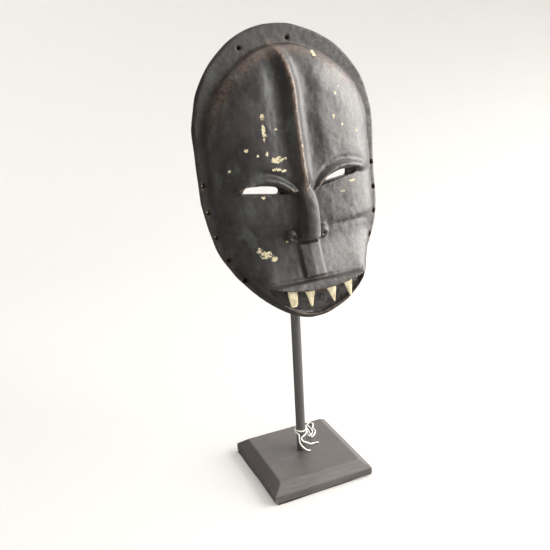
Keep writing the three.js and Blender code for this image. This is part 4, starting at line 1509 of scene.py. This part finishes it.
@dataclass
class Stand:
    """Block, felt, post, collar and washers, each sized from its CAD node."""

    bevel: float = 8.5
    edge_height: float = 8.0
    edge_round: float = 0.5
    felt_skew: float = 1.5
    counterbore_radius: float = 10.0
    counterbore_depth: float = 8.0
    spigot_hole_radius: float = 3.3
    spigot_radius: float = 2.85
    collar_bore: float = 4.15
    set_screw_bore: float = 1.55
    washer_bore: float = 4.3

    def block_field(self, x: Array, y: Array, z: Array) -> Array:
        """The block's distance field: a square with sloped margins, less the bolt hole under it.

        Args:
            x: places across.
            y: places from front to back.
            z: heights.

        Returns:
            Distances in millimetres, negative inside.
        """
        low, high = box_mm("base_block")
        half, across, rise = high[0], self.bevel, high[2] - self.edge_height
        length = math.hypot(across, rise)
        dents = 0.25 * Grain(21).layered(x / 9, y / 9) + 0.12 * Grain(22).sample(x / 3, z / 3)
        solid = soft_max(np.maximum(np.abs(x) - half, np.abs(y) - half), low[2] - z, self.edge_round)
        for along_axis in (np.abs(x), np.abs(y)):
            slope = ((along_axis - half) * rise + (z - self.edge_height) * across) / length
            solid = soft_max(solid, slope, self.edge_round)
        solid = soft_max(solid, z - high[2] + 0 * x, self.edge_round) + 0.35 * np.abs(dents)
        away = np.hypot(x, y)
        bore = np.maximum(away - self.counterbore_radius, z - low[2] - self.counterbore_depth)
        return soft_max(solid, -np.minimum(bore, away - self.spigot_hole_radius), 0.5)

    def block(self) -> bpy.types.Object:
        """The stained block, rubbed paler along its arrises.

        Returns:
            The piece.
        """
        low, high = box_mm("base_block")
        margin = np.array([2.0, 2.0, 2.0])
        piece = solid_from_field(
            "stained_block", self.block_field, low - margin, high + margin, 0.6, lambda local: local * MM
        )
        attribute(piece, "rubbed", ramp(convexity(piece, 2), 0.02, 0.09))
        return dress(piece, Wears.BLOCK, "stand", "block_stain", "base_block")

    def felt(self) -> bpy.types.Object:
        """The felt sheet under the block, its edge cut a little wavy.

        Returns:
            The piece.
        """
        low, high = box_mm("base_felt")
        turn, count = math.radians(self.felt_skew), 60
        side = (high[0] - low[0]) / (math.cos(turn) + math.sin(turn))
        ring = []
        for k in range(4 * count):
            t = (k % count) / count
            x, y = [(t, 0), (1, t), (1 - t, 1), (0, 1 - t)][k // count]
            inward = 0.25 * (1 + float(Grain(31).sample(np.array(x * 9.0), np.array(y * 9.0))))
            px, py = side * (x - 0.5), side * (y - 0.5)
            ring.append((px - math.copysign(inward, px), py - math.copysign(inward, py)))
        levels = ((low[2], 0.35), (low[2] + 0.25, 0.0), (high[2] - 0.25, 0.0), (high[2], 0.35))
        points = [(x - math.copysign(r, x), y - math.copysign(r, y), z) for z, r in levels for x, y in ring]
        n = len(ring)
        last = (len(levels) - 1) * n
        faces = [tuple(range(n))[::-1], tuple(last + i for i in range(n))] + skin(len(levels), n)
        c, s = math.cos(turn), math.sin(turn)
        spin = np.array([[c, s, 0], [-s, c, 0], [0, 0, 1]])
        piece = facing_out(as_object("felt_sheet", np.array(points) @ spin * MM, faces))
        piece.data.set_sharp_from_angle(angle=math.radians(CUT_ARRIS))
        dress(piece, Wears.FELT, "stand", "felt", "base_felt")
        return piece

    def rod(self) -> bpy.types.Object:
        """The post: a drawn rod, stepped down to its threaded spigot and eased at the top.

        Returns:
            The piece.
        """
        low, high = box_mm("post")
        radius, thin, shoulder = high[0], self.spigot_radius, box_mm("base_block")[1][2] + CLEARANCE
        corners = [(0, low[2]), (thin, low[2]), (thin, shoulder)]
        corners += [(radius, shoulder), (radius, high[2]), (0, high[2])]
        piece = turned("steel_rod", eased(corners, 0.8))
        return dress(piece, Wears.POST, "stand", "black_steel", "post")

    def collar(self) -> bpy.types.Object:
        """The stop collar, bored for the post and for its set screw.

        Returns:
            The piece.
        """
        low, high = box_mm("stop_collar")
        middle = (low[2] + high[2]) / 2

        def field(x: Array, y: Array, z: Array) -> Array:
            """The collar's distance field."""
            away = np.hypot(x, y)
            solid = soft_max(away - high[0], np.abs(z - middle) - (high[2] - low[2]) / 2, 0.9)
            solid = soft_max(solid, self.collar_bore - away, 0.5)
            tapped = np.maximum(np.hypot(x, z - middle) - self.set_screw_bore, -y)
            return soft_max(solid, -tapped, 0.4)

        piece = solid_from_field("clamp_collar", field, low - 1, high + 1, 0.35, lambda local: local * MM)
        return dress(piece, Wears.BLACK_STEEL, "stand", "black_steel", "stop_collar")

    def washer(self) -> bpy.types.Object:
        """The loose washer that the batten turns on.

        Returns:
            The piece.
        """
        low, high = box_mm("rest_washer")
        bore = self.washer_bore
        corners = [(bore, low[2]), (high[0], low[2]), (high[0], high[2]), (bore, high[2])]
        piece = turned("bearing_washer", eased(corners, 0.3))
        return dress(piece, Wears.BRASS, "turning_washer", "brass", "rest_washer")

    def build(self) -> None:
        """Makes the stand's pieces; the nut, its washer and the set screw keep their CAD shapes."""
        self.block()
        self.felt()
        self.rod()
        self.collar()
        self.washer()
        for node in ("post_washer", "post_nut", "collar_screw"):
            Wears.STEEL.put_on(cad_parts[node])


@dataclass
class TagString:
    """Cotton string of three plies, tied round the post, with a doubled loop and two loose ends."""

    diameter: float = 1.3
    pitch: float = 4.2
    plies: int = 3
    level: float = 15.95
    turn_radius: float = 4.95
    sides: int = 8

    def on_post(self, angle: float, z: float) -> tuple[float, float, float]:
        """A point on a turn round the post: degrees round from the right, and height."""
        turn, out = math.radians(angle), self.turn_radius
        return (out * math.cos(turn), out * math.sin(turn), z)

    def route(self) -> Array:
        """The chosen points: first loose end, knot, doubled loop, turns round the post, other loose end.

        Returns:
            Points in millimetres.
        """
        low, on = self.level, self.on_post
        return np.array([
            (16.8, 0.2, low), (12, 0.8, low), (8.2, -1.8, 17.8), (3.4, -5.2, 22.6), (-1.2, -6.2, 26),
            (-2.2, -5.6, 29), on(-75, 30.6), on(-40, 31.4), (5.4, 1.2, 31.2), (8.2, 5.4, 26.5),
            (11.2, 9.8, 19.6), (14.6, 13.2, low), (18.8, 16.6, low), (20.6, 21.6, low), (20.4, 27, low),
            (20.6, 31, low), (23.4, 33.6, low), (26.2, 31.2, low), (25, 27.6, low),
            (22.8, 24, low), (22.6, 18.6, low), (19.6, 13.8, low), (15.6, 10.8, low),
            (12.2, 7.2, 21), (8.6, 3, 28.6), (5.2, 2.4, 33.4), on(70, 34.2), on(120, 34.6), on(170, 34.8),
            on(220, 35), on(265, 34.8), on(310, 35.2), on(355, 36), on(400, 36.4), on(450, 36),
            on(500, 34.6), on(545, 33), on(585, 31.2), (-4.1, -5.2, 28.2), (-3.7, -6, 24), (-1.2, -7.4, 20),
            (1.8, -7.9, 17), (4.8, -8.2, low),
        ], float)

    def path(self) -> Array:
        """The route as a smooth centripetal curve with a point every third of a millimetre, in metres.

        Returns:
            Points in metres.
        """
        knots = self.route()
        knots = np.concatenate([[2 * knots[0] - knots[1]], knots, [2 * knots[-1] - knots[-2]]])
        points = []
        for p0, p1, p2, p3 in zip(knots, knots[1:], knots[2:], knots[3:]):
            t1 = math.sqrt(np.linalg.norm(p1 - p0))
            t2 = t1 + math.sqrt(np.linalg.norm(p2 - p1))
            t3 = t2 + math.sqrt(np.linalg.norm(p3 - p2))
            for t in np.linspace(t1, t2, max(2, int(np.linalg.norm(p2 - p1) / 0.33)), endpoint=False):
                a1 = (t1 - t) / t1 * p0 + t / t1 * p1
                a2 = (t2 - t) / (t2 - t1) * p1 + (t - t1) / (t2 - t1) * p2
                a3 = (t3 - t) / (t3 - t2) * p2 + (t - t2) / (t3 - t2) * p3
                b1 = (t2 - t) / t2 * a1 + t / t2 * a2
                b2 = (t3 - t) / (t3 - t1) * a2 + (t - t1) / (t3 - t1) * a3
                points.append((t2 - t) / (t2 - t1) * b1 + (t - t1) / (t2 - t1) * b2)
        points.append(knots[-2])
        return np.array(points) * MM

    def tree(self) -> bpy.types.NodeTree:
        """The node tree that twists three plies along a line.

        Returns:
            The tree.
        """
        tree, n = node_tree("twisted_string", "String", Line="Geometry", Ply_radius="Float",
                            Ply_offset="Float", Pitch="Float", Material="Material")
        given = n.add("NodeGroupInput").outputs
        line = n.add("GeometryNodeMeshToCurve", Mesh=given["Line"])
        by_spline = {"domain": "SPLINE"}
        plies = n.add("GeometryNodeDuplicateElements", by_spline, Geometry=line, Amount=self.plies)
        length = n.add("GeometryNodeSplineParameter").outputs["Length"]
        turn = n.maths("MULTIPLY", n.maths("DIVIDE", length, given["Pitch"]), 2 * math.pi)
        start = n.maths("MULTIPLY", plies.outputs["Duplicate Index"], 2 * math.pi / self.plies)
        turn = n.maths("ADD", turn, start)
        normal = n.add("GeometryNodeInputNormal")
        tangent = n.add("GeometryNodeInputTangent")
        side = n.add("ShaderNodeVectorMath", {"operation": "CROSS_PRODUCT"}, in0=tangent, in1=normal)
        parts = []
        for axis, operation in ((normal, "COSINE"), (side, "SINE")):
            reach = n.maths("MULTIPLY", n.maths(operation, turn), given["Ply offset"])
            parts.append(n.add("ShaderNodeVectorMath", {"operation": "SCALE"}, in0=axis, Scale=reach))
        offset = n.add("ShaderNodeVectorMath", {"operation": "ADD"}, in0=parts[0], in1=parts[1])
        twisted = n.add("GeometryNodeSetPosition", Geometry=plies, Offset=offset)
        section = n.add("GeometryNodeCurvePrimitiveCircle", Resolution=self.sides, Radius=given["Ply radius"])
        tube = n.add("GeometryNodeCurveToMesh", Curve=twisted, Profile_Curve=section, Fill_Caps=True)
        smooth = n.add("GeometryNodeSetShadeSmooth", Geometry=tube)
        real = n.add("GeometryNodeRealizeInstances", Geometry=smooth)
        dressed = n.add("GeometryNodeSetMaterial", Geometry=real, Material=given["Material"])
        n.add("NodeGroupOutput", String=dressed)
        return tree

    def build(self) -> bpy.types.Object:
        """Returns:
            The piece.
        """
        line = self.path()
        mesh = bpy.data.meshes.new("string_line")
        mesh.from_pydata([tuple(p) for p in line], [(i, i + 1) for i in range(len(line) - 1)], [])
        carrier = linked("string_line", mesh)
        radius = self.diameter / 2 * MM
        values = {"Ply radius": radius * 0.56, "Ply offset": radius * 0.44, "Pitch": self.pitch * MM,
                  "Material": Wears.STRING.material()}
        grow(carrier, self.tree(), values)
        piece = evaluated(carrier, "cotton_string")
        discard(carrier)
        dress(facing_out(piece, 1e-7), Wears.STRING, "stand", "cotton", "tag_string")
        return piece


# ---- Camera, light and floor -----------------------------------------------------------------


@dataclass(frozen=True)
class Studio:
    """A paper cove lit by a wide window on the right, and the camera."""

    azimuth: float = -23.905
    elevation: float = 21.715
    roll: float = -2.649
    distance: float = 0.56600
    target_height: float = 0.14727
    pan: float = 0.0267378
    tilt: float = 0.050648
    lens: float = 45.005
    cove_radius: float = 2.4
    cove_bend: float = 1.7
    cove_height: float = 2.0
    light_height: float = 0.22

    def camera(self) -> None:
        """Places the camera and makes it the scene's."""
        a, e = math.radians(self.azimuth), math.radians(self.elevation)
        back = Vector((math.sin(a) * math.cos(e), -math.cos(a) * math.cos(e), math.sin(e)))
        right = (-back).cross(Vector((0, 0, 1))).normalized()
        basis = Matrix((right, right.cross(-back), back)).transposed()
        turn = Matrix.Rotation(self.pan, 3, "Y") @ Matrix.Rotation(self.tilt, 3, "X")
        turn = turn @ Matrix.Rotation(math.radians(self.roll), 3, "Z")
        data = bpy.data.cameras.new("camera")
        data.lens = self.lens
        camera = linked("camera", data)
        camera.matrix_world = (basis @ turn).to_4x4()
        camera.location = Vector((0, 0, self.target_height)) + back * self.distance
        bpy.context.scene.camera = camera

    def light(self, name: str, place: Sequence[float], size: float, power: float, colour: str) -> None:
        """Adds a soft square light aimed at the mask.

        Args:
            name: the light's name.
            place: where it hangs, in metres.
            size: its side, in metres.
            power: watts.
            colour: an sRGB hex colour.
        """
        data = bpy.data.lights.new(name, "AREA")
        data.energy, data.size, data.color = power, size, linear(colour)[:3]
        lamp = linked(name, data)
        lamp.location = place
        aim = Vector((0, 0, self.light_height)) - Vector(place)
        lamp.rotation_euler = aim.to_track_quat("-Z", "Y").to_euler()

    def cove(self) -> None:
        """A round paper floor that curves up into a wall on every side."""
        flat = self.cove_radius - self.cove_bend
        line = [(0.0, 0.0), (flat * 0.5, 0.0)]
        for t in np.linspace(0, math.pi / 2, 14):
            line.append((flat + self.cove_bend * math.sin(t), self.cove_bend * (1 - math.cos(t))))
        line.append((self.cove_radius, self.cove_height))
        sides = 96
        points = [(r * math.cos(2 * math.pi * k / sides), r * math.sin(2 * math.pi * k / sides), z)
                  for k in range(sides) for r, z in line]
        n, faces = len(line), []
        for k in range(sides):
            a, b = k * n, ((k + 1) % sides) * n
            faces += [(a + i, b + i, b + i + 1, a + i + 1) for i in range(n - 1)]
        cove = facing_out(as_object("paper_cove", np.array(points), faces))
        cove.data.flip_normals()
        Wears.PAPER.put_on(cove)
        cove.visible_glossy = False

    def room(self) -> None:
        """Room light that is strong from above and the right, and weak from the left and front."""
        world = bpy.data.worlds.new("room")
        world.use_nodes = True
        n = Nodes(world.node_tree)
        background = world.node_tree.nodes["Background"]
        ray = n.add("ShaderNodeTexCoord").outputs["Generated"]
        side = n.add("ShaderNodeVectorMath", {"operation": "DOT_PRODUCT"}, in0=ray, in1=(0.8, 0.1, 0.6))
        strength = n.between(side.outputs["Value"], -0.1, 0.95, 0.07, 1.6)
        n.tree.links.new(strength, background.inputs["Strength"])
        background.inputs["Color"].default_value = linear("#fbfaf8")
        bpy.context.scene.world = world

    def build(self) -> None:
        """Sets up everything round the object."""
        self.camera()
        self.cove()
        self.room()
        self.light("window", (1.25, -0.5, 0.5), 1.6, 66.0, "#fffcf8")
        bpy.context.scene.view_settings.view_transform = "Standard"


def main() -> None:
    """Builds the scene in order."""
    logging.basicConfig(level=logging.INFO, format="%(message)s")
    Studio().build()
    TagString().build()
    face = CarvedFace()
    place = MaskFrame.read(face.crown)
    face.build(place)
    Teeth(face).build(place)
    MountBar(face).build(place)
    Stand().build()


if __name__ == "__main__":
    main()
